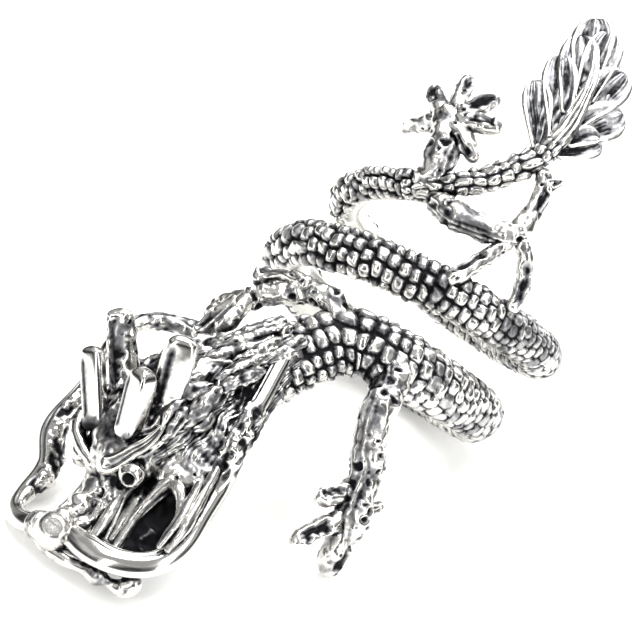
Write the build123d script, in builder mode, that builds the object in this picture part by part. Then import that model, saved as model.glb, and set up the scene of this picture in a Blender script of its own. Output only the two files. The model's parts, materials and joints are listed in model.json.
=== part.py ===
"""Dragon ring: a scaly body wound round the finger, with head, legs and a leaf-shaped tail fan.

Cast and soldered silver, so the whole ring is one solid. It is worked out standing on the
finger first: X runs along the finger to the head, Y to the dragon's left, Z up out of its
back. Then it is laid on its side as it rests on a table. All lengths are in millimetres.
"""
from build123d import *
import math
import os

import numpy as np

# Finger bore
finger_d = 18.2
bore_reach = 90.0

# Body: a tapering band of scales in a bit more than two leaning turns
body_width = 4.6
body_depth = 3.4
body_pitch = 7.65
body_lean_deg = 19.9
body_start_x = -0.85
body_start_deg = 52.0
body_end_deg = 745.0
body_seat = 0.36
neck_length = 10.0
scale_rows = 92
scale_height = 0.28

# Head
head_length = 23.2
head_width = 16.0
head_height = 10.0
head_gap = 3.1
head_side = 3.5
nose_d = 3.2
whisker_d = 1.35
horn_width = 2.4
horn_thick = 1.1
brow_width = 1.5
snout_d = 2.0
lip_d = 1.1
hair_width = 1.3
hair_count = 9

# Legs
foreleg_reach = 16.0
foreleg_d = 2.4
arm_reach = 8.0
arm_d = 1.9
hind_reach = 8.0
hind_d = 2.1
toe_d = 1.4

# Tail
tail_length = 21.5
tail_d = 1.9
fan_blade = 3.4
fan_thick = 0.9

# Rest on the table: turned about the finger's line, then about its left-right line
rest_roll_deg = 24.5
rest_pitch_deg = 28.6

bore_r = finger_d / 2
body_lean = (bore_r + body_seat * body_depth) * math.tan(math.radians(body_lean_deg))


def around(x, turn_deg, lift):
    """Point at x along the finger, turned from the top to the left, lifted off the finger.

    The lift is a share of the body's depth."""
    radius = bore_r + lift * body_depth
    turn = math.radians(turn_deg)
    return np.array([x, radius * math.sin(turn), radius * math.cos(turn)])


def coil_x(turn_deg):
    """Place along the finger of the leaning coil at a turn from the top."""
    return body_start_x - body_pitch * turn_deg / 360 + body_lean * math.cos(math.radians(turn_deg))


def solid_of(rings):
    """Closed solid of flat triangles through rings of points, with a fan at each end.

    The four-cornered fields are split now one way, now the other, like a folded fan."""
    steps, sides, _ = rings.shape
    at = [[Vector(*point) for point in ring] for ring in rings]
    ends = [Vector(*rings[0].mean(axis=0)), Vector(*rings[-1].mean(axis=0))]
    corners = []
    for i in range(steps - 1):
        for j in range(sides):
            k = (j + 1) % sides
            if (i + j) % 2:
                corners.append((at[i][j], at[i][k], at[i + 1][j]))
                corners.append((at[i][k], at[i + 1][k], at[i + 1][j]))
            else:
                corners.append((at[i][j], at[i][k], at[i + 1][k]))
                corners.append((at[i][j], at[i + 1][k], at[i + 1][j]))
    for j in range(sides):
        k = (j + 1) % sides
        corners.append((ends[0], at[0][k], at[0][j]))
        corners.append((ends[1], at[-1][j], at[-1][k]))
    return Solid(Shell([Face(Wire.make_polygon(three, close=True)) for three in corners]))


def rings_on(line, facing, widths, depths, sides, bumps=0.0):
    """Oval rings square to a line of points: depth lies along facing, width across it."""
    along = np.gradient(line, axis=0)
    along /= np.linalg.norm(along, axis=1)[:, None]
    out = facing - along * (facing * along).sum(axis=1)[:, None]
    out /= np.linalg.norm(out, axis=1)[:, None]
    across = np.cross(along, out)
    turn = np.arange(sides) / sides * 2 * np.pi
    half_w = np.asarray(widths)[:, None] / 2 + bumps
    half_d = np.asarray(depths)[:, None] / 2 + bumps
    side = half_w * np.sin(turn)
    height = half_d * np.cos(turn)
    return line[:, None] + side[..., None] * across[:, None] + height[..., None] * out[:, None]


def limb(rows, sides=8, steps=3, facing=None):
    """Tube along a smooth line through rows of (point, width, depth).

    Its depth faces away from the finger, or along the given direction."""
    points = np.array([row[0] for row in rows])
    spans = np.linalg.norm(np.diff(points, axis=0), axis=1)
    knots = np.concatenate([[0], np.cumsum(spans)]) / spans.sum()
    marks = np.arange(len(rows))
    fine = np.linspace(0, marks[-1], marks[-1] * steps + 1)
    shares = np.interp(fine, marks, knots)
    with BuildLine() as path:
        Spline(*[tuple(point) for point in points])
    line = np.array([tuple(path.line @ share) for share in shares])
    out = line * (0, 1, 1) if facing is None else np.tile(facing, (len(line), 1))
    widths = np.interp(fine, marks, [row[1] for row in rows])
    depths = np.interp(fine, marks, [row[2] for row in rows])
    return solid_of(rings_on(line, out, widths, depths, sides))


# Body: share of the run, width and depth as shares of the body's, drift as a share of the pitch
BODY = (
    (0.00, 1.08, 1.04, 0.00),
    (0.05, 1.20, 1.07, 0.00),
    (0.10, 1.14, 1.09, 0.00),
    (0.18, 0.96, 1.08, 0.01),
    (0.28, 0.95, 1.06, 0.00),
    (0.50, 0.84, 1.00, 0.00),
    (0.68, 0.78, 1.05, -0.01),
    (0.80, 0.66, 0.95, 0.00),
    (0.90, 0.56, 0.88, 0.05),
    (1.00, 0.45, 0.82, -0.16),
)


def coil_line(turns_deg, depths, drifts):
    """Points of the coil, whose inner side lies on the finger whatever its depth.

    Drift is how far a turn has wandered from an even pitch, as a share of it."""
    turns = np.radians(turns_deg)
    radius = bore_r + body_seat * depths
    x = body_start_x + body_pitch * (drifts - turns / (2 * np.pi)) + body_lean * np.cos(turns)
    return np.stack([x, radius * np.sin(turns), radius * np.cos(turns)], axis=1)


with BuildPart() as body:
    turns = np.linspace(body_start_deg, body_end_deg, 1500)
    share, width_share, depth_share, drift = np.array(BODY).T
    run = np.linspace(0.1, 1, len(turns))
    coil = coil_line(turns, body_depth * np.interp(run, share, depth_share), np.interp(run, share, drift))
    # The neck is a smooth bend from the back of the head into the first turn
    heading = (coil[1] - coil[0]) / np.linalg.norm(coil[1] - coil[0])
    guides = [
        around(coil[0][0] + neck_length, 32.5, 0.55),
        around(coil[0][0] + 0.46 * neck_length, 33.5, 0.55),
        coil[0] - 0.2 * neck_length * heading,
        coil[0],
    ]
    t = np.linspace(0, 1, 120)[:-1, None]
    weights = [(1 - t) ** 3, 3 * t * (1 - t) ** 2, 3 * t ** 2 * (1 - t), t ** 3]
    neck = sum(weight * guide for weight, guide in zip(weights, guides))
    whole = np.concatenate([neck, coil])
    length = np.concatenate([[0], np.cumsum(np.linalg.norm(np.diff(whole, axis=0), axis=1))])
    rows = np.linspace(0, 1, 2 * scale_rows + 1)
    spine = np.stack([np.interp(rows * length[-1], length, whole[:, i]) for i in range(3)], axis=1)
    # Every second corner of every ring stands up, so that the scales lie staggered
    sides = 12
    stand = (np.arange(len(rows))[:, None] + np.arange(sides)[None, :]) % 2 * scale_height
    outer_side = np.cos(np.arange(sides) / sides * 2 * np.pi) > -0.6
    add(solid_of(rings_on(
        spine,
        spine * (0, 1, 1),
        body_width * np.interp(rows, share, width_share) - scale_height,
        body_depth * np.interp(rows, share, depth_share) - scale_height,
        sides,
        stand * outer_side,
    )))

# Head: forward, side and up are shares of its length, half width and height
head_x = coil_x(0) + head_gap


def on_head(forward, side, up):
    """Point of the head, from its back, its middle and the top of the finger."""
    return np.array([
        head_x + forward * head_length,
        head_side + side * head_width / 2,
        bore_r + up * head_height,
    ])


# Skull sections from the neck to the nose: forward, side, up, width, height
SKULL = (
    (-0.08, 0.14, 0.11, 0.34, 0.30),
    (0.10, 0.12, 0.17, 0.46, 0.40),
    (0.25, 0.08, 0.23, 0.54, 0.50),
    (0.40, 0.05, 0.28, 0.58, 0.60),
    (0.54, 0.05, 0.28, 0.55, 0.60),
    (0.66, 0.04, 0.22, 0.44, 0.52),
    (0.74, 0.03, 0.10, 0.34, 0.34),
    (0.85, 0.02, 0.04, 0.24, 0.22),
    (0.96, 0.01, 0.06, 0.14, 0.18),
)

with BuildPart() as skull:
    add(limb(
        [
            (on_head(forward, side, up), width * head_width, height * head_height)
            for forward, side, up, width, height in SKULL
        ],
        sides=12,
        steps=2,
        facing=(0, 0, 1),
    ))

# Snout ridge, nose, cheek bars and eye knobs: name, then rows of forward, side, up, diameter
MUZZLE = (
    ("ridge", snout_d, ((0.64, 0.02, 0.10, 1.2), (0.80, 0.02, 0.12, 1.1), (0.98, 0.01, 0.11, 1.0))),
    ("nose", nose_d, ((0.95, 0.01, 0.11, 0.5), (0.975, 0.01, 0.11, 0.9), (1.01, 0.01, 0.11, 0.95),
                      (1.045, 0.01, 0.11, 0.5))),
    ("left inner bar", lip_d, ((0.68, 0.30, 0.12, 0.9), (0.78, 0.30, 0.02, 0.8),
                               (0.92, 0.22, 0.0, 0.9))),
    ("left outer bar", lip_d, ((0.54, 0.56, 0.08, 1.3), (0.64, 0.57, 0.04, 1.2), (0.78, 0.54, -0.03, 1.0),
                               (0.90, 0.52, -0.07, 1.0), (0.975, 0.58, -0.04, 0.9))),
    ("right inner bar", lip_d, ((0.68, -0.28, 0.12, 0.9), (0.78, -0.28, 0.06, 0.8),
                                (0.92, -0.2, 0.08, 0.9))),
    ("left eye knob", nose_d, ((0.62, 0.16, 0.20, 0.73), (0.69, 0.22, 0.14, 0.69),
                               (0.715, 0.23, 0.12, 0.49))),
    ("right eye knob", nose_d, ((0.62, -0.14, 0.22, 0.73), (0.69, -0.20, 0.17, 0.69),
                                (0.715, -0.21, 0.15, 0.49))),
    ("jaw", lip_d, ((0.98, -0.45, 0.05, 0.8), (1.04, -0.06, 0.04, 1.0), (1.03, 0.25, -0.06, 1.1),
                    (1.01, 0.56, -0.17, 1.2), (0.985, 0.70, -0.30, 1.3), (0.93, 0.86, -0.27, 1.0))),
)

# Cheek of streaming hair and floor of the open mouth: forward, side, up, width, thickness
CHEEK = (
    (-0.04, 0.40, 0.00, 0.18, 0.22),
    (0.10, 0.44, 0.03, 0.25, 0.24),
    (0.25, 0.50, 0.04, 0.29, 0.25),
    (0.40, 0.57, 0.03, 0.32, 0.25),
    (0.55, 0.62, 0.02, 0.34, 0.22),
    (0.64, 0.66, -0.04, 0.30, 0.16),
)
MOUTH_FLOOR = (
    (0.56, 0.52, -0.06, 0.34, 0.12),
    (0.70, 0.52, -0.12, 0.40, 0.11),
    (0.84, 0.47, -0.13, 0.38, 0.11),
    (0.95, 0.40, -0.06, 0.26, 0.11),
)

with BuildPart() as muzzle:
    add([
        limb([(on_head(*row[:3]), row[3] * thick, row[3] * thick) for row in rows], steps=2)
        for _, thick, rows in MUZZLE
    ])
    add([
        limb([(on_head(*row[:3]), row[3] * head_width, row[4] * head_height) for row in rows], steps=2)
        for rows in (CHEEK, MOUTH_FLOOR)
    ])

# Whiskers, from the nose round the cheek to the neck: forward, side, up, thickness
LEFT_WHISKER = (
    (0.96, 0.06, 0.07, 1.10),
    (0.985, 0.40, 0.04, 1.05),
    (0.97, 0.70, -0.08, 1.05),
    (0.90, 0.92, -0.22, 1.05),
    (0.78, 0.97, -0.28, 1.10),
    (0.64, 0.90, -0.22, 1.20),
    (0.50, 0.78, -0.19, 1.15),
    (0.38, 0.66, -0.17, 1.25),
    (0.30, 0.52, -0.11, 1.15),
    (0.15, 0.40, -0.04, 1.20),
    (0.00, 0.34, -0.02, 0.90),
    (-0.10, 0.30, 0.00, 0.60),
)
RIGHT_WHISKER = (
    (0.98, -0.02, 0.10, 1.10),
    (1.01, -0.38, 0.14, 1.05),
    (0.97, -0.74, 0.11, 1.00),
    (0.87, -0.86, 0.08, 1.05),
    (0.77, -0.92, 0.09, 1.15),
    (0.70, -1.02, 0.20, 1.20),
    (0.60, -1.13, 0.24, 1.10),
    (0.45, -1.17, 0.30, 0.90),
    (0.29, -1.22, 0.38, 0.95),
    (0.19, -1.20, 0.37, 1.05),
    (0.09, -1.11, 0.22, 1.10),
    (0.05, -0.92, 0.11, 1.10),
    (0.03, -0.64, 0.09, 1.00),
    (0.02, -0.30, 0.12, 0.90),
)

with BuildPart() as whiskers:
    add([
        limb([(on_head(*row[:3]), row[3] * whisker_d, row[3] * whisker_d) for row in rows], steps=2)
        for rows in (LEFT_WHISKER, RIGHT_WHISKER)
    ])

# Horns, four upright paddles: root and tip as forward, side, up, then the width
HORNS = (
    ("left front", (0.65, 0.27, 0.42), (0.48, 0.43, 0.89), 1.05),
    ("right front", (0.66, -0.17, 0.44), (0.50, -0.31, 0.98), 0.85),
    ("left rear", (0.52, 0.36, 0.40), (0.32, 0.55, 0.93), 1.10),
    ("right rear", (0.50, -0.24, 0.44), (0.335, -0.38, 1.03), 1.00),
)
HORN_SWELL = ((0.0, 0.80), (0.25, 0.95), (0.55, 1.05), (0.85, 0.95), (1.0, 0.45))

with BuildPart() as horns:
    paddles = []
    for _, root, tip, wide in HORNS:
        low = on_head(*root)
        high = on_head(*tip)
        rows = [
            (low + share * (high - low), swell * wide * horn_width, swell * horn_thick)
            for share, swell in HORN_SWELL
        ]
        paddles.append(limb(rows, steps=1, facing=(1, 0, 0)))
    add(paddles)

# Brows over the eyes: forward, side, up, width
BROWS = (
    ((0.75, 0.02, 0.26, 0.6), (0.67, 0.26, 0.37, 1.0), (0.60, 0.42, 0.40, 0.9), (0.54, 0.54, 0.42, 0.4)),
    ((0.75, -0.02, 0.28, 0.6), (0.70, -0.34, 0.42, 1.0), (0.63, -0.52, 0.44, 0.9), (0.57, -0.60, 0.44, 0.4)),
)

with BuildPart() as brows:
    add([
        limb([(on_head(*row[:3]), row[3] * brow_width, row[3] * brow_width) for row in rows], steps=2)
        for rows in BROWS
    ])

# Hair: strands that stream back over the skull, with free tips above the neck
HAIR = (
    (0.60, 0.96, 0.7),
    (0.46, 1.02, 1.0),
    (0.30, 1.02, 1.0),
    (0.14, 1.04, 0.9),
    (0.00, 1.16, 0.4),
)

with BuildPart() as hair:
    section = np.array(SKULL)
    strands = []
    for k in range(hair_count):
        turn = math.radians(-95 + 190 * k / (hair_count - 1))
        rows = []
        for forward, spread, thick in HAIR:
            side, up, width, height = (
                np.interp(forward, section[:, 0], section[:, column]) for column in (1, 2, 3, 4)
            )
            point = on_head(
                forward,
                side + spread * width * math.sin(turn),
                up + 0.5 * spread * height * math.cos(turn),
            )
            rows.append((point, thick * hair_width, thick * hair_width))
        strands.append(limb(rows, sides=6, steps=2))
    add(strands)

# Legs: shares of the leg's reach, turns in degrees, lifts off the finger, thickness
LEFT_FORELEG = (
    ("leg", foreleg_d, ((0.00, 64, 0.45, 1.1), (0.10, 69.7, 0.74, 1.15), (0.235, 72.3, 0.92, 1.15),
                        (0.355, 77, 0.98, 1.12), (0.445, 83, 1.01, 1.15), (0.535, 89.5, 1.02, 1.1),
                        (0.64, 94.5, 1.0, 1.25), (0.74, 102.5, 1.0, 1.15), (0.80, 106, 0.97, 0.7))),
    ("middle toe", toe_d, ((0.70, 96, 0.94, 1.1), (0.79, 94.5, 0.97, 1.15), (0.90, 91, 1.0, 1.15),
                           (1.00, 89, 1.0, 1.1), (1.05, 88, 1.0, 0.6))),
    ("lower toe", toe_d, ((0.69, 98, 0.94, 1.4), (0.80, 104, 0.97, 1.6), (0.89, 110.5, 0.97, 1.6),
                          (0.945, 113.5, 0.94, 0.9))),
    ("upper toe", toe_d, ((0.60, 90, 0.9, 1.2), (0.69, 87.3, 0.91, 1.0), (0.77, 84, 0.88, 1.1),
                          (0.81, 82.5, 0.86, 0.6))),
    ("spur", toe_d, ((0.66, 97, 0.92, 1.1), (0.57, 103.5, 0.92, 0.9), (0.49, 108, 0.92, 0.6))),
)
RIGHT_FORELEG = (
    ("leg", arm_d, ((0.00, 40, 0.45, 1.0), (-0.17, 32, 0.66, 1.0), (-0.16, 24, 0.62, 1.05),
                    (-0.06, 17, 0.70, 1.0), (0.12, 11, 0.78, 0.95), (0.27, 5, 0.83, 1.0),
                    (0.40, 1, 0.84, 1.0))),
    ("hollow toe", toe_d, ((0.30, 4, 0.94, 1.2), (0.52, 5, 0.94, 1.1), (0.74, 5.6, 0.90, 1.25),
                           (0.84, 5.8, 0.87, 0.8))),
    ("middle toe", toe_d, ((0.36, 1, 0.86, 1.2), (0.62, -2, 0.84, 1.0), (0.86, -4, 0.80, 0.9),
                           (0.97, -4.5, 0.80, 0.5))),
    ("outer toe", toe_d, ((0.30, 3, 0.84, 1.1), (0.40, -5, 0.83, 1.1), (0.54, -11, 0.78, 1.0),
                          (0.64, -14, 0.72, 0.6))),
    ("thumb", toe_d, ((-0.12, 21, 0.88, 1.0), (-0.08, 12, 0.97, 0.8), (0.0, 4, 0.97, 0.8),
                      (0.08, -1, 0.95, 1.1), (0.12, -3, 0.93, 0.6))),
)
RIGHT_HINDLEG = (
    ("leg", hind_d, ((-0.04, 19, 0.40, 1.2), (-0.28, 16.5, 0.68, 1.3), (-0.45, 15, 0.84, 1.3),
                     (-0.62, 10.5, 0.96, 1.1), (-0.82, 6.4, 1.03, 1.1), (-0.93, 4.5, 1.03, 0.7))),
    ("toe 1", toe_d, ((-0.74, 5, 0.94, 1.2), (-0.69, -7, 0.88, 1.05), (-0.61, -17, 0.80, 0.6))),
    ("toe 2", toe_d, ((-0.84, 4, 1.03, 1.2), (-0.97, -6, 1.10, 1.2), (-1.12, -12, 1.13, 0.85))),
    ("toe 3", toe_d, ((-0.88, 7, 1.03, 1.2), (-1.14, 3.5, 1.13, 1.1), (-1.36, 0.2, 1.15, 0.9))),
    ("toe 4", toe_d, ((-0.86, 10, 1.03, 1.2), (-1.07, 14.5, 1.13, 1.2), (-1.28, 18.5, 1.15, 0.9))),
    ("toe 5", toe_d, ((-0.80, 10, 1.0, 1.2), (-0.90, 20, 1.10, 1.2), (-1.00, 28, 1.13, 0.9))),
    ("toe 6", toe_d, ((-0.76, 10, 1.0, 1.4), (-0.66, 20, 0.94, 1.3), (-0.57, 29, 0.85, 0.6))),
)
LEFT_HINDLEG = (
    ("leg", hind_d, ((0.00, 24, 0.40, 0.9), (0.06, 33, 0.66, 1.0), (0.08, 38.5, 0.78, 1.1),
                     (0.01, 48, 0.88, 1.05), (-0.10, 56, 0.92, 0.9), (-0.30, 63, 0.94, 0.8))),
    ("toe to the tail", toe_d, ((-0.20, 61, 0.90, 1.5), (-0.46, 59.5, 0.92, 1.25), (-0.68, 57, 0.91, 1.05),
                                (-0.83, 54.5, 0.85, 1.1), (-0.96, 49, 0.80, 1.0))),
    ("spur", toe_d, ((-0.78, 55, 0.86, 1.1), (-0.92, 57, 0.86, 0.8), (-1.02, 58.5, 0.86, 0.4))),
    ("toe to the body", toe_d, ((-0.16, 61, 0.92, 1.0), (0.12, 59.6, 0.89, 0.95), (0.36, 58, 0.86, 1.0),
                                (0.57, 56, 0.84, 1.0), (0.68, 55, 0.7, 0.8))),
    ("outer toe", toe_d, ((-0.24, 62, 0.94, 1.0), (-0.18, 67.5, 0.92, 0.95), (-0.07, 73.5, 0.88, 1.0),
                          (0.12, 79, 0.85, 1.0), (0.32, 82, 0.78, 0.8))),
)

LEGS = (
    ("left foreleg", coil_x(64), foreleg_reach, LEFT_FORELEG),
    ("right foreleg", coil_x(40), arm_reach, RIGHT_FORELEG),
    ("right hind leg", coil_x(720 + 17), hind_reach, RIGHT_HINDLEG),
    ("left hind leg", coil_x(720 + 24), hind_reach, LEFT_HINDLEG),
)

with BuildPart() as legs:
    limbs = []
    for _, root_x, reach, tables in LEGS:
        for name, thick, table in tables:
            rows = [
                (around(root_x + share * reach, turn, lift), size * thick, size * thick)
                for share, turn, lift, size in table
            ]
            limbs.append(limb(rows, sides=8 if name == "leg" else 6, steps=2))
    add(limbs)

# Tail: shares of its length back from the coil's end, turn, lift, thickness
TAIL = (
    (0.00, 8, 0.40, 0.95),
    (0.08, 23, 0.56, 0.95),
    (0.155, 32.5, 0.65, 1.15),
    (0.29, 41, 0.74, 1.15),
    (0.39, 44.5, 0.79, 1.10),
    (0.51, 45.6, 0.85, 0.95),
    (0.65, 42.7, 0.88, 0.80),
    (0.78, 38.3, 0.91, 0.55),
    (0.90, 30.0, 0.94, 0.35),
)
# Fan blades: share of the tail's length and turn at the stem, then at the lobe's tip, width
BLADES = (
    (0.42, 44.0, 0.659, 24.9, 0.62),
    (0.52, 44.0, 0.816, 21.8, 0.72),
    (0.62, 42.0, 0.936, 20.0, 0.80),
    (0.74, 38.0, 1.037, 18.8, 0.85),
    (0.70, 41.0, 1.015, 28.0, 0.80),
    (0.60, 44.0, 0.915, 44.0, 0.85),
    (0.52, 46.0, 0.787, 54.9, 0.76),
    (0.46, 47.0, 0.645, 56.5, 0.62),
)
BLADE_SWELL = ((0.0, 0.30), (0.3, 0.60), (0.65, 0.95), (0.88, 0.85), (1.0, 0.40))

with BuildPart() as tail:
    tail_x = coil_x(728)
    rows = [
        (around(tail_x - share * tail_length, turn, lift), size * tail_d, size * tail_d)
        for share, turn, lift, size in TAIL
    ]
    leaves = [limb(rows, steps=2)]
    for stem_share, stem_turn, tip_share, tip_turn, wide in BLADES:
        rows = []
        for share, swell in BLADE_SWELL:
            back = stem_share + share * (tip_share - stem_share)
            turn = stem_turn + share * (tip_turn - stem_turn)
            point = around(tail_x - back * tail_length, turn, 0.90)
            rows.append((point, swell * wide * fan_blade, fan_thick))
        leaves.append(limb(rows, steps=1))
    add(leaves)

# The whole casting, with the finger's way cleared through it
with BuildPart() as ring:
    add([
        body.part, skull.part, muzzle.part, whiskers.part, horns.part,
        brows.part, hair.part, legs.part, tail.part,
    ])
    Cylinder(bore_r, bore_reach, rotation=(0, 90, 0), mode=Mode.SUBTRACT)

# Laid on its side, centred over its footprint
laid = ring.part.rotate(Axis.X, rest_roll_deg).rotate(Axis.Y, rest_pitch_deg)
box = laid.bounding_box()
laid = Pos(-box.center().X, -box.center().Y, -box.min.Z) * laid
laid.label = "dragon_ring"
os.makedirs("parts", exist_ok=True)
export_step(laid, "parts/dragon_ring.step")
print("solids", len(laid.solids()), "faces", len(laid.faces()), "volume", laid.volume)
print("the finger's line starts at", [round(-v, 3) for v in (box.center().X, box.center().Y, box.min.Z)])
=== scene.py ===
"""Looks of the dragon ring: oxidised cast silver, lying on its side on a pale studio floor."""

import itertools
import json
import math

import bpy
import numpy as np
from mathutils import Matrix


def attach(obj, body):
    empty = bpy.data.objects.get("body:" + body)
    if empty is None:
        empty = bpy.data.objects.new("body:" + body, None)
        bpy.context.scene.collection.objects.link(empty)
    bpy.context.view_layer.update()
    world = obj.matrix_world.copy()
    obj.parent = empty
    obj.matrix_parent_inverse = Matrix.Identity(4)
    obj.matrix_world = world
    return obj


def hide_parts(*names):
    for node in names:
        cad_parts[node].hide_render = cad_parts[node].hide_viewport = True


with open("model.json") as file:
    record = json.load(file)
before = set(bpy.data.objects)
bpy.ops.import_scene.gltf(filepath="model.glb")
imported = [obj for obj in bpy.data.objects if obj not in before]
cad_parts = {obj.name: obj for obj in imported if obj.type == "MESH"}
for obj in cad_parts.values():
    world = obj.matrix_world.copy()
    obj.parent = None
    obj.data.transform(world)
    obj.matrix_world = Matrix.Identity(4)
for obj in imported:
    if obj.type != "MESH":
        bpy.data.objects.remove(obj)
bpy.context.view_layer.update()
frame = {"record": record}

# Scaled body
# A band of cast sterling silver, wound in about two leaning turns from the neck to the tail.
# Rounded scales are carved into its outer side, and its inner side is worn smooth.
finger_bore = next(mount for mount in frame["record"]["mounts"] if mount["name"] == "finger_bore")
bore_r = finger_bore["dims"]["r_mm"]
bore_mid_x = -9.0
rest_roll_deg = 24.5
body_width = 4.6
body_depth = 3.4
body_pitch = 7.65
body_lean_deg = 19.9
body_start_x = -0.85
body_start_deg = 52.0
body_end_deg = 745.0
body_seat = 0.36
neck_length = 10.0
scale_share = 0.235
scale_columns = 8.5
scale_height = 0.5
# colours of the blackening: silver, tarnish, oxide and black; the darker ones also carry painted shade
silver_hex = "#DDDBD7"
tarnish_and_shade_hex = "#88888A"
oxide_and_shade_hex = "#363638"
black_hex = "#1C1C1E"
stain_depth = 0.5
BODY = (
    # share of the run, width, depth, drift along the finger
    (0.0, 1.08, 1.04, 0.0),
    (0.05, 1.2, 1.07, 0.0),
    (0.1, 1.14, 1.09, 0.0),
    (0.18, 0.96, 1.08, 0.01),
    (0.28, 0.95, 1.06, 0.0),
    (0.5, 0.84, 1.0, 0.0),
    (0.68, 0.78, 1.05, -0.01),
    (0.8, 0.66, 0.95, 0.0),
    (0.9, 0.56, 0.88, 0.05),
    (1.0, 0.45, 0.82, -0.16),
)


def laid(points):
    """Ring's own frame in millimetres to the row's frame in metres.

    Points are rolled about the finger's line, pitched about the left-right line, and moved so
    that the middle of the bore meets its mount."""
    roll = math.radians(rest_roll_deg)
    pitch = math.asin(-finger_bore["axis"][2])
    roll_turn = np.array([
        [1, 0, 0],
        [0, math.cos(roll), -math.sin(roll)],
        [0, math.sin(roll), math.cos(roll)],
    ])
    pitch_turn = np.array([
        [math.cos(pitch), 0, math.sin(pitch)],
        [0, 1, 0],
        [-math.sin(pitch), 0, math.cos(pitch)],
    ])
    turned = (np.asarray(points) - (bore_mid_x, 0, 0)) @ (pitch_turn @ roll_turn).T
    return turned / 1000 + np.array(finger_bore["pos_m"])


def dice(cells, seed):
    """A random number from 0 to 1 for each whole-number cell, by mixing its bits."""
    mixed = (cells * (73856093, 19349663, 83492791)[:cells.shape[-1]]).sum(axis=-1) + seed * 7919
    mixed = (mixed ^ (mixed >> 13)) * 1274126177 & 0xFFFFFFFF
    mixed = (mixed ^ (mixed >> 15)) * 2246822519 & 0xFFFFFFFF
    return (mixed ^ (mixed >> 16)) / 0xFFFFFFFF


def grain(points, spacing, seed=0):
    """Smooth random heights from -1 to 1.

    Each corner of a cubic lattice has a random value, and 3t^2 - 2t^3 blends them."""
    cells = np.floor(points / spacing).astype(np.int64)
    share = points / spacing - cells
    share = share * share * (3 - 2 * share)
    total = np.zeros(points.shape[:-1])
    for corner in itertools.product((0, 1), repeat=3):
        weight = np.where(np.array(corner) == 1, share, 1 - share).prod(axis=-1)
        total += weight * (2 * dice(cells + corner, seed) - 1)
    return total


def step(value, low, high):
    """0 below low, 1 above high, and 3t^2 - 2t^3 between them."""
    share = np.clip((value - low) / (high - low), 0, 1)
    return share * share * (3 - 2 * share)


def hollows(rise, reach=3):
    """How far each point lies under the mean height of its neighbours, from 0 to 1.

    The mean is taken over reach rows and columns each way, and the columns close on themselves."""
    padded = np.pad(rise, ((reach, reach), (0, 0)), "edge")
    along = sum(padded[k:k + len(rise)] for k in range(2 * reach + 1))
    total = sum(np.roll(along, k, axis=1) for k in range(-reach, reach + 1))
    return step(total / (2 * reach + 1) ** 2 - rise, 0.015, 0.14)


def carried(path, facing, width, depth, sides, relief, square=2.0, crowd=0.0):
    """Closed skin: an oval carried along a path, with relief standing on it.

    At each point of the path the oval's depth lies along facing, made square to the path, and
    its width across both. Turn t runs round it, and crowd draws the corners to the outer side:
    side = width / 2 * sin t and height = depth / 2 * cos t, each raised to 2 / square.
    Both ends are rounded off like an egg. Returns the grid of points and the depth of shade."""
    path = np.asarray(path)
    gaps = np.linalg.norm(np.diff(path, axis=0), axis=1)
    run = np.concatenate([[0], np.cumsum(gaps)])
    along = np.gradient(path, axis=0)
    along /= np.linalg.norm(along, axis=1)[:, None]
    out = facing - along * (facing * along).sum(axis=1)[:, None]
    out /= np.linalg.norm(out, axis=1)[:, None]
    across = np.cross(along, out)
    even = np.arange(sides) / sides * 2 * np.pi
    turn = even - crowd * np.sin(even)
    end = np.minimum(0.5 * np.minimum(width, depth), 0.45 * run[-1])
    near = np.clip(np.minimum(run, run[-1] - run) / end, 0, 1)
    egg = np.sqrt(1 - (1 - near) ** 2)
    egg[[0, -1]] = 0.02
    side = np.sign(np.sin(turn)) * np.abs(np.sin(turn)) ** (2 / square)
    height = np.sign(np.cos(turn)) * np.abs(np.cos(turn)) ** (2 / square)
    grid = (
        path[:, None]
        + (egg * width / 2)[:, None, None] * side[None, :, None] * across[:, None]
        + (egg * depth / 2)[:, None, None] * height[None, :, None] * out[:, None]
    )
    lengthwise = np.gradient(grid, axis=0)
    crosswise = np.roll(grid, -1, axis=1) - np.roll(grid, 1, axis=1)
    normal = np.cross(crosswise, lengthwise)
    normal /= np.linalg.norm(normal, axis=2)[..., None] + 1e-12
    outward = (normal * (grid - path[:, None])).sum(axis=(1, 2))
    normal *= np.sign(outward.sum())
    rise, shade = relief(run[:, None], turn[None, :], grid)
    return grid + (rise * egg[:, None])[..., None] * normal, np.maximum(shade, hollows(rise))


def in_scene(name, data):
    """An object of that name that holds the data, in the scene."""
    thing = bpy.data.objects.new(name, data)
    bpy.context.scene.collection.objects.link(thing)
    return thing


castings = []


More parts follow.
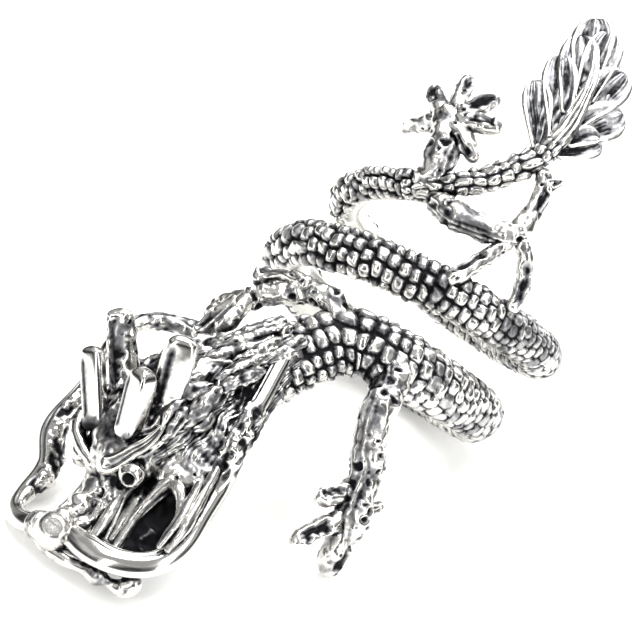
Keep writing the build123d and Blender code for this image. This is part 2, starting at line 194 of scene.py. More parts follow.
def cast(name, skins, material):
    """One mesh of closed skins: rows of four-cornered faces, and a fan of three-cornered ones at each end.

    Faces are turned outwards by the sign of each skin's volume."""
    points, shades, corners, sizes = [], [], [], []
    first = 0
    for grid, shade in skins:
        rows, sides, _ = grid.shape
        ends = np.stack([grid[0].mean(axis=0), grid[-1].mean(axis=0)])
        index = first + np.arange(rows * sides).reshape(rows, sides)
        beside = np.roll(index, -1, axis=1)
        quads = np.stack([index[:-1], beside[:-1], beside[1:], index[1:]], axis=-1).reshape(-1, 4)
        tail = first + rows * sides
        near_fan = np.stack([np.full(sides, tail), beside[0], index[0]], axis=-1)
        far_fan = np.stack([np.full(sides, tail + 1), index[-1], beside[-1]], axis=-1)
        flat = np.concatenate([grid.reshape(-1, 3), ends])
        middle = flat.mean(axis=0)
        a, b, c = (flat[quads[:, k] - first] - middle for k in (0, 1, 2))
        if (a * np.cross(b, c)).sum() < 0:
            quads, near_fan, far_fan = quads[:, ::-1], near_fan[:, ::-1], far_fan[:, ::-1]
        points.append(flat)
        shades.append(np.concatenate([shade.ravel(), [shade[0].mean(), shade[-1].mean()]]))
        corners += [quads.ravel(), near_fan.ravel(), far_fan.ravel()]
        sizes.append(np.concatenate([np.full(len(quads), 4), np.full(2 * sides, 3)]))
        first += rows * sides + 2
    points, corners, sizes = (np.concatenate(part) for part in (points, corners, sizes))
    mesh = bpy.data.meshes.new(name)
    mesh.vertices.add(len(points))
    mesh.vertices.foreach_set("co", laid(points).astype(np.float32).ravel())
    mesh.loops.add(len(corners))
    mesh.loops.foreach_set("vertex_index", corners.astype(np.int32))
    mesh.polygons.add(len(sizes))
    mesh.polygons.foreach_set("loop_start", (np.cumsum(sizes) - sizes).astype(np.int32))
    mesh.update(calc_edges=True)
    mesh.shade_smooth()
    piece = in_scene(name, mesh)
    mesh.materials.append(material)
    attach(piece, "root")
    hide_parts("dragon_ring")
    castings.append((piece, np.concatenate(shades)))


def linear(hex_colour):
    """sRGB hex to the linear colour that the shaders read."""
    values = [int(hex_colour[k:k + 2], 16) / 255 for k in (1, 3, 5)]
    return [v / 12.92 if v <= 0.04045 else ((v + 0.055) / 1.055) ** 2.4 for v in values] + [1.0]


def add_node(tree, kind, settings=(), links=()):
    """Adds a node: settings sets its properties and inputs by name, links joins inputs to sockets."""
    node = tree.nodes.new(kind)
    for name, value in dict(settings).items():
        if isinstance(name, str) and hasattr(node, name):
            setattr(node, name, value)
        else:
            node.inputs[name].default_value = value
    for name, socket in dict(links).items():
        tree.links.new(socket, node.inputs[name])
    return node


def oxidised_silver(name, polish, pit_mm, pit_height_mm):
    """Cast sterling silver, dipped to blacken it and polished where a wheel reaches.

    The skin's own attribute of oxide and painted shade mixes black sulphide and painted shade into bright
    silver, and a fine noise pits it."""
    material = bpy.data.materials.new(name)
    material.use_nodes = True
    tree = material.node_tree
    tree.nodes.clear()
    place = add_node(tree, "ShaderNodeTexCoord")
    oxide_and_painted_shade = add_node(tree, "ShaderNodeAttribute", {"attribute_name": "oxide_and_painted_shade"})
    pits = add_node(
        tree, "ShaderNodeTexNoise",
        {"Scale": 1000 / pit_mm, "Detail": 3.0, "Roughness": 0.6},
        {"Vector": place.outputs["Object"]},
    )
    stain = add_node(
        tree, "ShaderNodeMath", {"operation": "MULTIPLY_ADD", 1: stain_depth, 2: -0.5 * stain_depth},
        {0: pits.outputs["Fac"]},
    )
    dark = add_node(
        tree, "ShaderNodeMath", {"operation": "ADD", "use_clamp": True},
        {0: oxide_and_painted_shade.outputs["Fac"], 1: stain.outputs["Value"]},
    )
    shade = add_node(
        tree, "ShaderNodeMapRange", {"From Min": 0.08, "From Max": 0.85},
        {"Value": dark.outputs["Value"]},
    )
    colour = add_node(tree, "ShaderNodeValToRGB", {}, {"Fac": shade.outputs["Result"]})
    stops = colour.color_ramp.elements
    stops[0].color = linear(silver_hex)
    stops[1].color = linear(black_hex)
    stops.new(0.4).color = linear(tarnish_and_shade_hex)
    stops.new(0.85).color = linear(oxide_and_shade_hex)
    rough = add_node(
        tree, "ShaderNodeMapRange", {"To Min": polish, "To Max": 0.55},
        {"Value": shade.outputs["Result"]},
    )
    bump = add_node(
        tree, "ShaderNodeBump", {"Strength": 0.6, "Distance": pit_height_mm / 1000},
        {"Height": pits.outputs["Fac"]},
    )
    metal = add_node(
        tree, "ShaderNodeBsdfPrincipled", {"Metallic": 1.0},
        {
            "Base Color": colour.outputs["Color"],
            "Roughness": rough.outputs["Result"],
            "Normal": bump.outputs["Normal"],
        },
    )
    add_node(tree, "ShaderNodeOutputMaterial", {}, {"Surface": metal.outputs["BSDF"]})
    return material


def scales(run, turn, grid):
    """Rounded oblong scales in rows across the outer side of the body, like grains on a cob.

    Each is a steep pad, 1 - |a|^3.4 - |b|^3.4 over its cell, whose top tilts by its own amounts, with
    a fine line cut inside its edge. Rows wander and are moved sideways by chance. On the ring's two
    sides the scales are smaller and flatter, rubbed by the fingers beside it."""
    rows = scale_rows_at[:, None] + 0.24 * grain(grid, 2.2, 5) + 0.1 * grain(grid, 0.8, 10)
    row = np.floor(rows).astype(np.int64)
    drift = 0.7 * dice(row[..., None], 11)
    count = np.round(scale_columns * np.interp(row, scale_rows_at, widths / body_width / scale_size))
    columns = turn / (2 * np.pi) * count + drift + 0.22 * grain(grid, 1.5, 7)
    column = (np.floor(columns) % count).astype(np.int64)
    cell = np.stack([row, column], axis=-1)
    a = 2 * (rows - row) - 1 + 0.16 * (dice(cell, 1) - 0.5)
    b = 2 * (columns % 1) - 1 + 0.2 * (dice(cell, 2) - 0.5)
    reach = 0.84 + 0.16 * dice(cell, 3) + 0.15 * (1 - proud)
    far = np.abs(a / reach) ** 3.4 + np.abs(b / reach) ** 3.4
    pad = np.clip(1 - far, 0, 1) ** 0.45
    tilt = 0.6 * (dice(cell, 5) - 0.5) * a + 0.6 * (dice(cell, 6) - 0.5) * b
    top = 0.85 + 0.5 * (dice(cell, 4) - 0.5) + tilt
    line = np.exp(-((far ** 0.3 - 0.74) / 0.07) ** 2) * step(dice(cell, 12), 0.2, 0.8)
    outer = step(np.cos(turn), -0.62, -0.3)
    rough = 0.045 * grain(grid, 0.4, 6) + 0.1 * grain(grid, 0.8, 8)
    rise = outer * (proud * scale_height * (pad * top - 0.55) + rough - 0.06 * line)
    tarnish = 0.55 * step(dice(cell, 13), 0.62, 0.95) + 0.25 * step(-grain(grid, 0.45, 9), 0.1, 0.8)
    tarnish = tarnish + 0.6 * step(grain(grid, 2.4, 14), -0.1, 0.7)
    gap = (0.55 + 0.5 * proud) * (1 - step(pad, 0.15, 0.8))
    shade = outer * (np.maximum(gap, 0.4 * line) + 0.4 * tarnish)
    return rise, shade


turns = np.radians(np.linspace(body_start_deg, body_end_deg, 3000))
share_column, width_column, depth_column, drift_column = np.array(BODY).T
neck_share = 0.1
coil_run = np.linspace(neck_share, 1, len(turns))
coil_depth = body_depth * np.interp(coil_run, share_column, depth_column)
drift = np.interp(coil_run, share_column, drift_column)
body_lean = (bore_r + body_seat * body_depth) * math.tan(math.radians(body_lean_deg))
coil_r = bore_r + body_seat * coil_depth
coil = np.stack([
    body_start_x + body_pitch * (drift - turns / (2 * np.pi)) + body_lean * np.cos(turns),
    coil_r * np.sin(turns),
    coil_r * np.cos(turns),
], axis=1)


def around(x, turn_deg, lift):
    """Points at x along the finger, turned from top to left, lifted by a share of the body's depth."""
    radius = bore_r + np.asarray(lift) * body_depth
    turned = np.radians(turn_deg)
    return np.stack(np.broadcast_arrays(x, radius * np.sin(turned), radius * np.cos(turned)), axis=-1)


heading = (coil[1] - coil[0]) / np.linalg.norm(coil[1] - coil[0])
guides = (
    around(coil[0][0] + neck_length, 32.5, 0.55),
    around(coil[0][0] + 0.46 * neck_length, 33.5, 0.55),
    coil[0] - 0.2 * neck_length * heading,
    coil[0],
)
t = np.linspace(0, 1, 240)[:-1, None]
bend = ((1 - t) ** 3, 3 * t * (1 - t) ** 2, 3 * t ** 2 * (1 - t), t ** 3)
whole = np.concatenate([sum(weight * guide for weight, guide in zip(bend, guides)), coil])
length = np.concatenate([[0], np.cumsum(np.linalg.norm(np.diff(whole, axis=0), axis=1))])
body_rows = 1100
share = np.linspace(0, 1, body_rows)
spine = np.stack([np.interp(share * length[-1], length, whole[:, i]) for i in range(3)], axis=1)
widths = body_width * np.interp(share, share_column, width_column)
depths = body_depth * np.interp(share, share_column, depth_column)
proud = 0.45 + 0.55 * step(spine[:, 2:] / np.linalg.norm(spine[:, 1:], axis=1)[:, None], 0.0, 0.6)
scale_size = (0.45 + 0.5 * widths / body_width) * (0.68 + 0.32 * proud[:, 0])
scale_rows_at = np.cumsum(length[-1] / body_rows / (scale_share * body_width * scale_size))
worn_silver = oxidised_silver("oxidised_cast_silver", 0.24, 0.3, 0.02)
cast("scaled_body", [carried(spine, spine * (0, 1, 1), widths, depths, 88, scales, crowd=0.35)], worn_silver)

# Head
# The skull with its cheek and the floor of the mouth, carved with ridges of hair that stream
# back to the neck. It was cast in one with the body, and the hollows between are left dark,
# partly with oxide and partly with painted shade.
head_length = 23.2
head_width = 16.0
head_height = 10.0
head_gap = 3.1
head_side = 3.5
head_x = body_start_x + body_lean + head_gap
SKULL = (
    # forward, side, up, width, height
    (-0.08, 0.19, 0.09, 0.28, 0.27),
    (0.1, 0.17, 0.155, 0.39, 0.37),
    (0.25, 0.08, 0.23, 0.54, 0.5),
    (0.4, 0.05, 0.28, 0.58, 0.6),
    (0.54, 0.05, 0.28, 0.55, 0.6),
    (0.66, 0.04, 0.22, 0.44, 0.52),
    (0.74, 0.03, 0.1, 0.34, 0.34),
    (0.85, 0.02, 0.04, 0.24, 0.22),
    (0.96, 0.01, 0.06, 0.14, 0.18),
)
CHEEK = (
    (-0.04, 0.4, 0.0, 0.18, 0.22),
    (0.1, 0.43, 0.09, 0.26, 0.26),
    (0.25, 0.5, 0.11, 0.33, 0.28),
    (0.4, 0.58, 0.07, 0.34, 0.28),
    (0.55, 0.62, 0.02, 0.34, 0.22),
    (0.64, 0.66, -0.04, 0.3, 0.16),
)
MOUTH_FLOOR = (
    (0.56, 0.52, -0.06, 0.34, 0.12),
    (0.7, 0.52, -0.12, 0.4, 0.11),
    (0.84, 0.47, -0.13, 0.38, 0.11),
    (0.95, 0.4, -0.06, 0.26, 0.11),
)


def on_head(table, thick=None):
    """Rows of forward, side, up and sizes, as points of the ring's frame with width and depth.

    Sizes are shares of the head's width and height, or of one thickness."""
    rows = np.array(table, float)
    place = np.stack([
        head_x + rows[:, 0] * head_length,
        head_side + rows[:, 1] * head_width / 2,
        bore_r + rows[:, 2] * head_height,
    ], axis=1)
    sizes = rows[:, 3:5] * (head_width, head_height) if thick is None else rows[:, [3, -1]] * thick
    return np.concatenate([place, sizes], axis=1)


def smoothed(rows, spacing):
    """Natural cubic spline through the rows, at even steps along it.

    Each column bends so that its slope and its bend run on through every row."""
    rows = np.asarray(rows, float)
    knots = np.concatenate([[0], np.cumsum(np.linalg.norm(np.diff(rows[:, :3], axis=0), axis=1))])
    gap = np.diff(knots)
    inner = np.arange(1, len(rows) - 1)
    system = np.eye(len(rows))
    system[inner, inner - 1] = gap[:-1]
    system[inner, inner] = 2 * (gap[:-1] + gap[1:])
    system[inner, inner + 1] = gap[1:]
    slope = np.diff(rows, axis=0) / gap[:, None]
    pull = np.zeros_like(rows)
    pull[1:-1] = 6 * np.diff(slope, axis=0)
    bends = np.linalg.solve(system, pull)
    fine = np.linspace(0, knots[-1], max(int(knots[-1] / spacing), 8) + 1)
    k = np.clip(np.searchsorted(knots, fine, side="right") - 1, 0, len(rows) - 2)
    after = (fine - knots[k])[:, None]
    before = (knots[k + 1] - fine)[:, None]
    h = gap[k][:, None]
    return (
        bends[k] * before ** 3 / (6 * h) + bends[k + 1] * after ** 3 / (6 * h)
        + (rows[k] / h - bends[k] * h / 6) * before
        + (rows[k + 1] / h - bends[k + 1] * h / 6) * after
    )


def limb(rows, relief, sides=32, spacing=0.14, facing=None, square=2.0):
    """Tube along a spline through rows of point, width and depth, facing off the finger if not told."""
    fine = smoothed(rows, spacing)
    path = fine[:, :3]
    out = path * (0, 1, 1) if facing is None else np.tile(facing, (len(path), 1))
    sizes = np.maximum(fine[:, 3:5], 0.05)
    return carried(path, out, sizes[:, 0], sizes[:, 1], sides, relief, square)


def combed(ridges, height, seed, fade=0.0, dark=0.72):
    """Relief of hair: so many ridges round the skin, wandering and rough, that fade to lumps at the end."""
    plain = carved(0.2, 0.8, seed + 8, 0.5, 0.28)

    def relief(run, turn, grid):
        wander = 0.9 * grain(grid, 3.0, seed) + 0.35 * grain(grid, 1.0, seed + 1)
        wave = np.cos(ridges * (turn + 0.16 * grain(grid, 1.8, seed + 6)) + wander * 1.8)
        crest = (0.5 + 0.5 * wave) ** 0.7 * np.clip(0.7 + 0.8 * grain(grid, 0.8, seed + 5), 0, 1.3)
        grit = grain(grid, 0.36, seed + 2)
        crest = crest * np.clip(0.75 + 0.7 * grain(grid, 0.5, seed + 7), 0, 1.2)
        rise = height * (crest - 0.5) + 0.11 * grit + 0.2 * grain(grid, 1.3, seed + 3)
        shade = dark - 1.05 * crest + 0.45 * grain(grid, 0.5, seed + 4) - 0.25 * grit
        lumps, stain = plain(run, turn, grid)
        front = fade * step(run / run.max(), 0.8, 0.9)
        return rise * (1 - front) + lumps * front, shade * (1 - front) + stain * front
    return relief


def carved(height, size, seed, dark=0.35, pit_share=0.3):
    """Relief of worked metal: soft lumps of the given size, small grit, and dark pits with a raised rim.

    A pit lies in each cell of a bent lattice 1.3 sizes wide, off its middle by chance, and some
    are filled."""
    def relief(run, turn, grid):
        bent = np.stack([grain(grid, 0.7 * size, seed + 10 + k) for k in range(3)], axis=-1)
        cells = (grid + 0.38 * size * bent) / (1.3 * size)
        cell = np.floor(cells).astype(np.int64)
        middle = np.stack([0.5 + 0.4 * (dice(cell, seed + k) - 0.5) for k in range(3)], axis=-1)
        away = np.linalg.norm(cells - cell - middle, axis=-1)
        wide = pit_share * (0.4 + 0.9 * dice(cell, seed + 4)) * (dice(cell, seed + 5) > 0.3) + 1e-6
        pits = 1 - step(away, 0.6 * wide, wide)
        rim = np.exp(-(((away / wide - 1.25) / 0.22) ** 2)) * (wide > 0.01)
        lumps = grain(grid, size, seed + 1)
        grit = grain(grid, 0.38, seed + 2)
        rise = height * (lumps + 0.4 * grit) - 1.1 * height * pits + 0.35 * height * rim
        stain = 0.6 * step(-lumps, 0.05, 0.7) + 0.4 * step(-grit, 0.3, 0.8)
        return rise, 0.75 * pits + 0.25 * step(away / wide, 1.6, 1.2) + 2 * dark * stain - 0.3 * rim
    return relief


lock_length = 4.6
lock_columns = 10
lock_height = 0.8
fine_ridges = 62
HOLLOWS = (
    # forward, turn in degrees, how far it reaches in each, depth in millimetres
    (0.23, 34, 0.05, 15, 0.55),
    (0.15, 88, 0.06, 16, 0.4),
    (0.38, 12, 0.06, 14, 0.6),
    (0.62, 88, 0.05, 12, 0.5),
    (0.71, 84, 0.05, 26, 0.3),
    (0.745, -20, 0.05, 30, 0.2),
    (0.665, 26, 0.03, 14, 0.4),
    (0.7, -70, 0.06, 24, 0.3),
    (0.58, -20, 0.08, 20, 0.3),
)


knobs = carved(0.22, 0.8, 33, 0.45, 0.3)


def turned_off(turn, middle):
    """How far each turn lies from a middle one, from -pi to pi."""
    return (turn - middle + np.pi) % (2 * np.pi) - np.pi


def maned(run, turn, grid):
    """Relief of the mane: leaf-shaped locks in two staggered layers, and fine ridges below them.

    A lock is as wide as 1 - p^3 over its length p, from its root to its point, and as high as the
    root of 1 - b^2 across it, rising to the point. Hollows are sunk as bells between them."""
    forward = section[0, 0] + run / run.max() * (section[-1, 0] - section[0, 0])
    best = np.zeros(grid.shape[:2])
    for layer in (0, 1):
        rows = run / lock_length + 0.5 * layer + 0.3 * grain(grid, 2.6, 20 + layer)
        row = np.floor(rows).astype(np.int64)
        columns = turn / (2 * np.pi) * lock_columns + 0.5 * layer + 1.1 * grain(grid, 2.4, 22 + layer)
        columns += 0.5 * (row % 2)
        column = np.floor(columns).astype(np.int64) % lock_columns
        cell = np.stack([row, column], axis=-1)
        p = 1 - (rows - row)
        b = 2 * (columns % 1) - 1 + 0.3 * (dice(cell, 3 + layer) - 0.5)
        half = np.maximum(0.98 * (1 - p ** 3), 0.05)
        crest = np.sqrt(np.clip(1 - (b / half) ** 2, 0, 1)) * (0.45 + 0.55 * p)
        groove = 1 + 0.16 * np.cos(9 * b + 3 * grain(grid, 1.5, 26))
        best = np.maximum(best, crest * groove * (0.7 + 0.5 * dice(cell, 7 + layer)))
    swung = turn + 0.14 * grain(grid, 1.6, 27)
    fine = (0.5 + 0.5 * np.cos(fine_ridges * swung + 2.0 * grain(grid, 2.2, 28))) ** 0.8
    fine = fine * np.clip(0.65 + 0.8 * grain(grid, 0.8, 29), 0, 1.2)
    low = step(np.abs(np.degrees(turned_off(turn, 0))), 72, 96)
    low = low * step(forward, 0.02, 0.12)
    front = step(forward, 0.56, 0.64)
    rise = lock_height * (best - 0.45) * (1 - 0.8 * low) + 0.2 * low * (fine - 0.5)
    grit = grain(grid, 0.36, 30)
    rise = rise + 0.09 * grit + 0.26 * grain(grid, 1.2, 31)
    shade = (1 - low) * (1 - step(best, 0.18, 0.66)) + low * (0.74 - fine + 0.35 * grain(grid, 0.8, 32))
    shade = shade + 0.35 * step(-grit, 0.1, 0.7)
    worked, stain = knobs(run, turn, grid)
    rise = rise * (1 - front) + front * worked
    shade = shade * (1 - front) + front * stain
    for at, middle, wide, swing, deep in HOLLOWS:
        off = (np.degrees(turn) - middle + 180) % 360 - 180
        bell = np.exp(-((forward - at) / wide) ** 2 - (off / swing) ** 2)
        rise = rise - deep * bell
        shade = shade + bell * (2 * deep + 0.5 * grit)
    return rise, shade


def blackened(run, turn, grid):
    """Relief of the floor of the mouth: rough, and black but for a few points, partly as oxide and partly as
    painted shade of the deep mouth.
    """
    lumps = grain(grid, 0.8, 40)
    grit = grain(grid, 0.4, 41)
    return 0.22 * lumps + 0.16 * grit, 1.4 - 0.85 * step(0.5 * lumps + grit, 0.3, 0.75)


section = np.array(SKULL)
head_skins = [
    limb(on_head(SKULL), maned, 208, 0.11, (0, 0, 1)),
    limb(on_head(CHEEK), combed(44, 0.13, 30, 1.0), 190, 0.1),
    limb(on_head(MOUTH_FLOOR), blackened, 72, 0.12),
]
cast("skull_and_cheek", head_skins, worn_silver)

# Muzzle
# Snout ridge, nose ball, cheek bars and the lower lip: modelled in wax as small rods and
# a ball, cast with the head, and polished where they stand proud.
nose_d = 3.2
nose_cut = 0.88
nose_faces = (0.155, 0.677, 0.8)
snout_d = 2.0
lip_d = 1.1
MUZZLE = (
    # name, thickness, rows of forward, side, up, diameter, then lump height
    ("ridge", snout_d, (
        (0.6, 0.02, 0.16, 1.3), (0.7, 0.02, 0.11, 1.25), (0.755, 0.02, 0.12, 0.95),
        (0.79, 0.02, 0.13, 1.15), (0.83, 0.02, 0.12, 0.9), (0.865, 0.02, 0.12, 1.1),
        (0.9, 0.01, 0.11, 0.85), (0.945, 0.01, 0.12, 1.1), (0.98, 0.01, 0.11, 0.9),
    ), 0.13),
    ("left inner bar", lip_d, (
        (0.7, 0.27, 0.1, 0.4), (0.79, 0.36, 0.05, 0.45), (0.95, 0.46, -0.06, 0.4),
    ), 0.05),
    ("left middle bar", lip_d, (
        (0.69, 0.38, 0.06, 0.7), (0.739, 0.42, 0.02, 1.1), (0.806, 0.421, -0.02, 1.15),
        (0.869, 0.41, -0.06, 1.0), (0.95, 0.41, -0.09, 0.7),
    ), 0.14),
    ("left snout bar", lip_d, (
        (0.71, 0.22, 0.1, 0.7), (0.79, 0.3, 0.07, 1.0), (0.95, 0.35, 0.0, 0.9),
    ), 0.1),
    ("left outer bar", lip_d, (
        (0.6, 0.62, 0.07, 1.2), (0.68, 0.56, 0.04, 1.1), (0.735, 0.54, 0.02, 0.95),
        (0.79, 0.5, -0.02, 0.9), (0.84, 0.5, -0.06, 0.9), (0.94, 0.54, -0.12, 0.7),
    ), 0.13),
    ("left cavity rim", lip_d, (
        (0.64, 0.56, 0.05, 0.8), (0.635, 0.66, 0.05, 0.95), (0.645, 0.78, 0.02, 0.8),
        (0.69, 0.9, -0.04, 0.7), (0.75, 0.96, -0.09, 0.5),
    ), 0.12),
    ("left cheek lock 1", lip_d, (
        (0.84, 0.96, -0.12, 0.5), (0.75, 0.98, -0.07, 0.75), (0.65, 0.92, -0.03, 0.8),
        (0.57, 0.88, 0.02, 0.55),
    ), 0.1),
    ("left cheek lock 2", lip_d, (
        (0.83, 1.04, -0.15, 0.5), (0.71, 1.02, -0.1, 0.8), (0.62, 0.95, -0.06, 0.8),
        (0.49, 0.86, 0.0, 0.55),
    ), 0.1),
    ("right inner bar", lip_d, (
        (0.68, -0.28, 0.12, 0.9), (0.78, -0.28, 0.06, 0.8), (0.92, -0.2, 0.08, 0.9),
    ), 0.1),
    ("jaw", lip_d, (
        (0.98, -0.45, 0.05, 0.8), (1.04, -0.06, 0.04, 0.9), (1.03, 0.25, -0.06, 1.0),
        (1.02, 0.44, -0.12, 0.9), (1.01, 0.56, -0.17, 1.4), (1.0, 0.62, -0.22, 0.8),
        (0.985, 0.7, -0.3, 1.4), (0.93, 0.86, -0.27, 0.9),
    ), 0.05),
    ("upper lip", lip_d, (
        (1.02, 0.1, 0.02, 0.4), (1.01, 0.3, -0.03, 0.45), (0.99, 0.5, -0.1, 0.4),
    ), 0.05),
    ("right collar", nose_d, (
        (0.99, -0.1, 0.11, 0.7), (0.995, -0.17, 0.115, 0.84), (1.0, -0.22, 0.12, 0.7),
        (1.0, -0.27, 0.12, 0.8), (1.005, -0.33, 0.125, 0.62),
    ), 0.01),
)


def looking(grid, into):
    """Cosine between a given way and the way from a ball's middle to each of its points."""
    way = grid - grid.reshape(-1, 3).mean(axis=0)
    way = way / np.linalg.norm(way, axis=-1, keepdims=True)
    return way @ (np.array(into) / np.linalg.norm(into))


def dimpled(run, turn, grid):
    """Relief of the nose: smooth, with a flat ground on its upper front, where a plane cuts the ball."""
    cut = np.clip(1 - nose_cut / np.maximum(looking(grid, nose_faces), 0.5), 0, 1)
    return -0.5 * nose_d * cut + 0.02 * grain(grid, 0.9, 57), 0.1 * step(grain(grid, 1.3, 58), 0.0, 0.6)


def streaked(height, seed):
    """Relief of a bar: a few ridges along it that wander, with dark lines between them."""
    def relief(run, turn, grid):
        wave = np.cos(3 * turn + 1.6 * grain(grid, 2.5, seed)) * (0.7 + 0.4 * grain(grid, 1.2, seed + 3))
        rise = 0.6 * height * (wave + grain(grid, 1.2, seed + 1)) + 0.03 * grain(grid, 0.4, seed + 2)
        return rise, 0.1 + 0.7 * step(-wave, 0.3, 0.95) + 0.2 * grain(grid, 0.5, seed + 4)
    return relief


def soft(height, seed):
    """Relief of a part of the muzzle: soft lumps with a few small pits."""
    return carved(height, 0.9, seed, 0.3, 0.14)


NOSE = ((0.925, 0.01, 0.11, 1.0), (1.06, 0.01, 0.11, 1.0))
muzzle_skins = [limb(on_head(NOSE, nose_d), dimpled, 72, 0.06)]
for k, (name, thick, rows, lump) in enumerate(MUZZLE):
    worked = streaked if "bar" in name or "lock" in name else soft
    relief = worked(lump, 50 + k)
    muzzle_skins.append(limb(on_head(rows, thick), relief, 44, 0.11))
cast("muzzle", muzzle_skins, worn_silver)

# Whiskers
# Two long rods from the nose round the cheeks to the neck, soldered at both ends and polished
# bright, with a rough knotted stretch in each.
whisker_d = 1.35
LEFT_WHISKER = (
    # forward, side, up, width, thickness
    (0.96, 0.06, 0.07, 1.3, 1.1),
    (0.975, 0.4, 0.04, 1.6, 1.05),
    (0.955, 0.7, -0.07, 1.6, 1.05),
    (0.885, 0.9, -0.2, 1.5, 1.05),
    (0.775, 0.96, -0.26, 1.4, 1.1),
    (0.64, 0.9, -0.22, 1.25, 1.2),
    (0.5, 0.82, -0.15, 1.4, 1.15),
    (0.43, 0.85, -0.03, 1.5, 1.2),
    (0.385, 0.87, 0.05, 1.4, 1.15),
    (0.338, 0.87, 0.11, 1.2, 1.0),
    (0.242, 0.785, 0.135, 1.1, 0.9),
    (0.13, 0.65, 0.145, 1.05, 0.85),
    (0.01, 0.51, 0.15, 0.95, 0.8),
    (-0.07, 0.38, 0.1, 0.7, 0.6),
)
RIGHT_WHISKER = (
    (0.98, -0.02, 0.1, 1.2, 1.1),
    (1.01, -0.38, 0.14, 1.3, 1.05),
    (0.97, -0.74, 0.11, 1.3, 1.0),
    (0.87, -0.86, 0.08, 1.6, 1.35),
    (0.77, -0.92, 0.09, 1.75, 1.7),
    (0.7, -1.02, 0.2, 1.7, 1.8),
    (0.6, -1.13, 0.24, 1.6, 1.5),
    (0.45, -1.17, 0.3, 1.0, 0.9),
    (0.29, -1.22, 0.38, 0.95, 0.95),
    (0.19, -1.2, 0.37, 1.1, 1.05),
    (0.09, -1.11, 0.22, 1.2, 1.1),
    (0.05, -0.92, 0.11, 1.2, 1.1),
    (0.03, -0.64, 0.09, 1.1, 1.0),
    (0.02, -0.3, 0.12, 1.0, 0.9),
)
WHISKERS = (
    # name, rows, start and end of the knotted stretch as shares of the length, turn of the groove
    # with its painted dark reflection, and of the middle of the knots with how far they reach round,
    # and wear of the far end
    ("left_whisker", LEFT_WHISKER, 0.58, 0.72, -0.55, 0.0, 3.2, 0.0),
    ("right_whisker", RIGHT_WHISKER, 0.24, 0.52, 0.6, 2.3, 1.5, 1.0),
)


def knotted(start, end, painted_line_turn, knots_turn, knots_reach, wear, seed):
    """Relief of a polished rod with a groove along one side, darkened as a painted reflection, and lumps
    between two shares of its length.
    """
    def relief(run, turn, grid):
        share = run / run.max()
        rough = step(share, start - 0.03, start) * (1 - step(share, end, end + 0.03))
        round_off = np.abs(turned_off(turn, knots_turn))
        rough = rough * (1 - step(round_off, knots_reach - 0.15, knots_reach + 0.15))
        lumps = grain(grid, 0.75, seed) + 0.5 * grain(grid, 0.35, seed + 1)
        # the groove's dark line is a painted reflection of a dark gap between lamps
        off = turned_off(turn, painted_line_turn - 0.1 * grain(grid, 2.0, seed + 2))
        line = np.exp(-((off / 0.13) ** 2)) * (0.55 + 0.45 * grain(grid, 1.8, seed + 3))
        far_end = wear * step(share, end + 0.06, end + 0.12)
        grit = grain(grid, 0.42, seed + 4)
        rise = 0.26 * rough * lumps - 0.12 * line + 0.07 * far_end * grit
        return rise, rough * step(-lumps, -0.1, 0.6) + 0.75 * line + far_end * (0.35 + 0.55 * grit)
    return relief


bright_silver = oxidised_silver("polished_cast_silver", 0.16, 0.6, 0.006)
for seed, (name, table, *knots) in enumerate(WHISKERS):
    relief = knotted(*knots, 70 + 10 * seed)
    cast(name, [limb(on_head(table, whisker_d), relief, 64, 0.1)], bright_silver)

# Horns
# Four upright paddles behind the eyes, cast with the skull. Their broad faces are ground flat
# and polished, with a shallow groove down each.
horn_width = 2.4
horn_thick = 1.1
HORNS = (
    # name, root and tip as forward, side and up, width, thickness, the way its grooved face looks,
    # squareness, wear
    ("left front", (0.65, 0.27, 0.42), (0.48, 0.43, 0.89), 0.8, 1.6, (0.78, 0.1, 0.62), 5.0, 0.0),
    ("right front", (0.66, -0.17, 0.44), (0.5, -0.31, 0.98), 0.78, 1.1, (0.79, 0.4, 0.54), 4.0, 0.0),
    ("left rear", (0.52, 0.36, 0.4), (0.32, 0.55, 0.93), 1.05, 1.3, (0.62, 0.72, 0.3), 2.6, 0.15),
    ("right rear", (0.5, -0.24, 0.44), (0.335, -0.38, 1.03), 0.95, 1.2, (0.62, 0.72, 0.3), 3.0, 1.0),
)
HORN_SWELL = (
    (0.0, 1.0), (0.25, 1.02), (0.55, 1.05), (0.85, 1.0), (1.0, 0.8),
)


def grooved(wear):
    """Relief of a horn: a groove off the middle of its face, darkened partly as oxide and partly as painted
    shade that greys that side of the face, a rough root, and so much wear.
    """
    worked = carved(0.09, 0.7, 83, 0.45, 0.25)

    def relief(run, turn, grid):
        share = run / run.max()
        open_part = step(share, 0.14, 0.24) * (1 - step(share, 0.78, 0.92))
        across = np.sin(turn)
        # the groove's darkness is partly oxide and partly painted shade, greying that side of the face
        groove = np.exp(-(((across + 0.36) / 0.26) ** 2)) * (np.cos(turn) > 0)
        back = np.exp(-((across / 0.3) ** 2)) * (np.cos(turn) <= 0)
        root = 1 - step(share, 0.05, 0.24)
        lumps = grain(grid, 0.6, 81)
        rise, shade = worked(run, turn, grid)
        rise = wear * rise - 0.16 * (groove + back) * open_part + 0.15 * root * lumps
        return rise, wear * shade + 0.75 * groove * open_part + 0.9 * root * step(lumps, -0.4, 0.3)
    return relief


horn_skins = []
for _, root, tip, wide, deep, looks, square, wear in HORNS:
    low, high = on_head([root + (0,), tip + (0,)], 1.0)[:, :3]
    rows = [
        (*(low + share * (high - low)), swell * wide * horn_width, swell * deep * horn_thick)
        for share, swell in HORN_SWELL
    ]
    horn_skins.append(limb(rows, grooved(wear), 88, 0.1, looks, square))

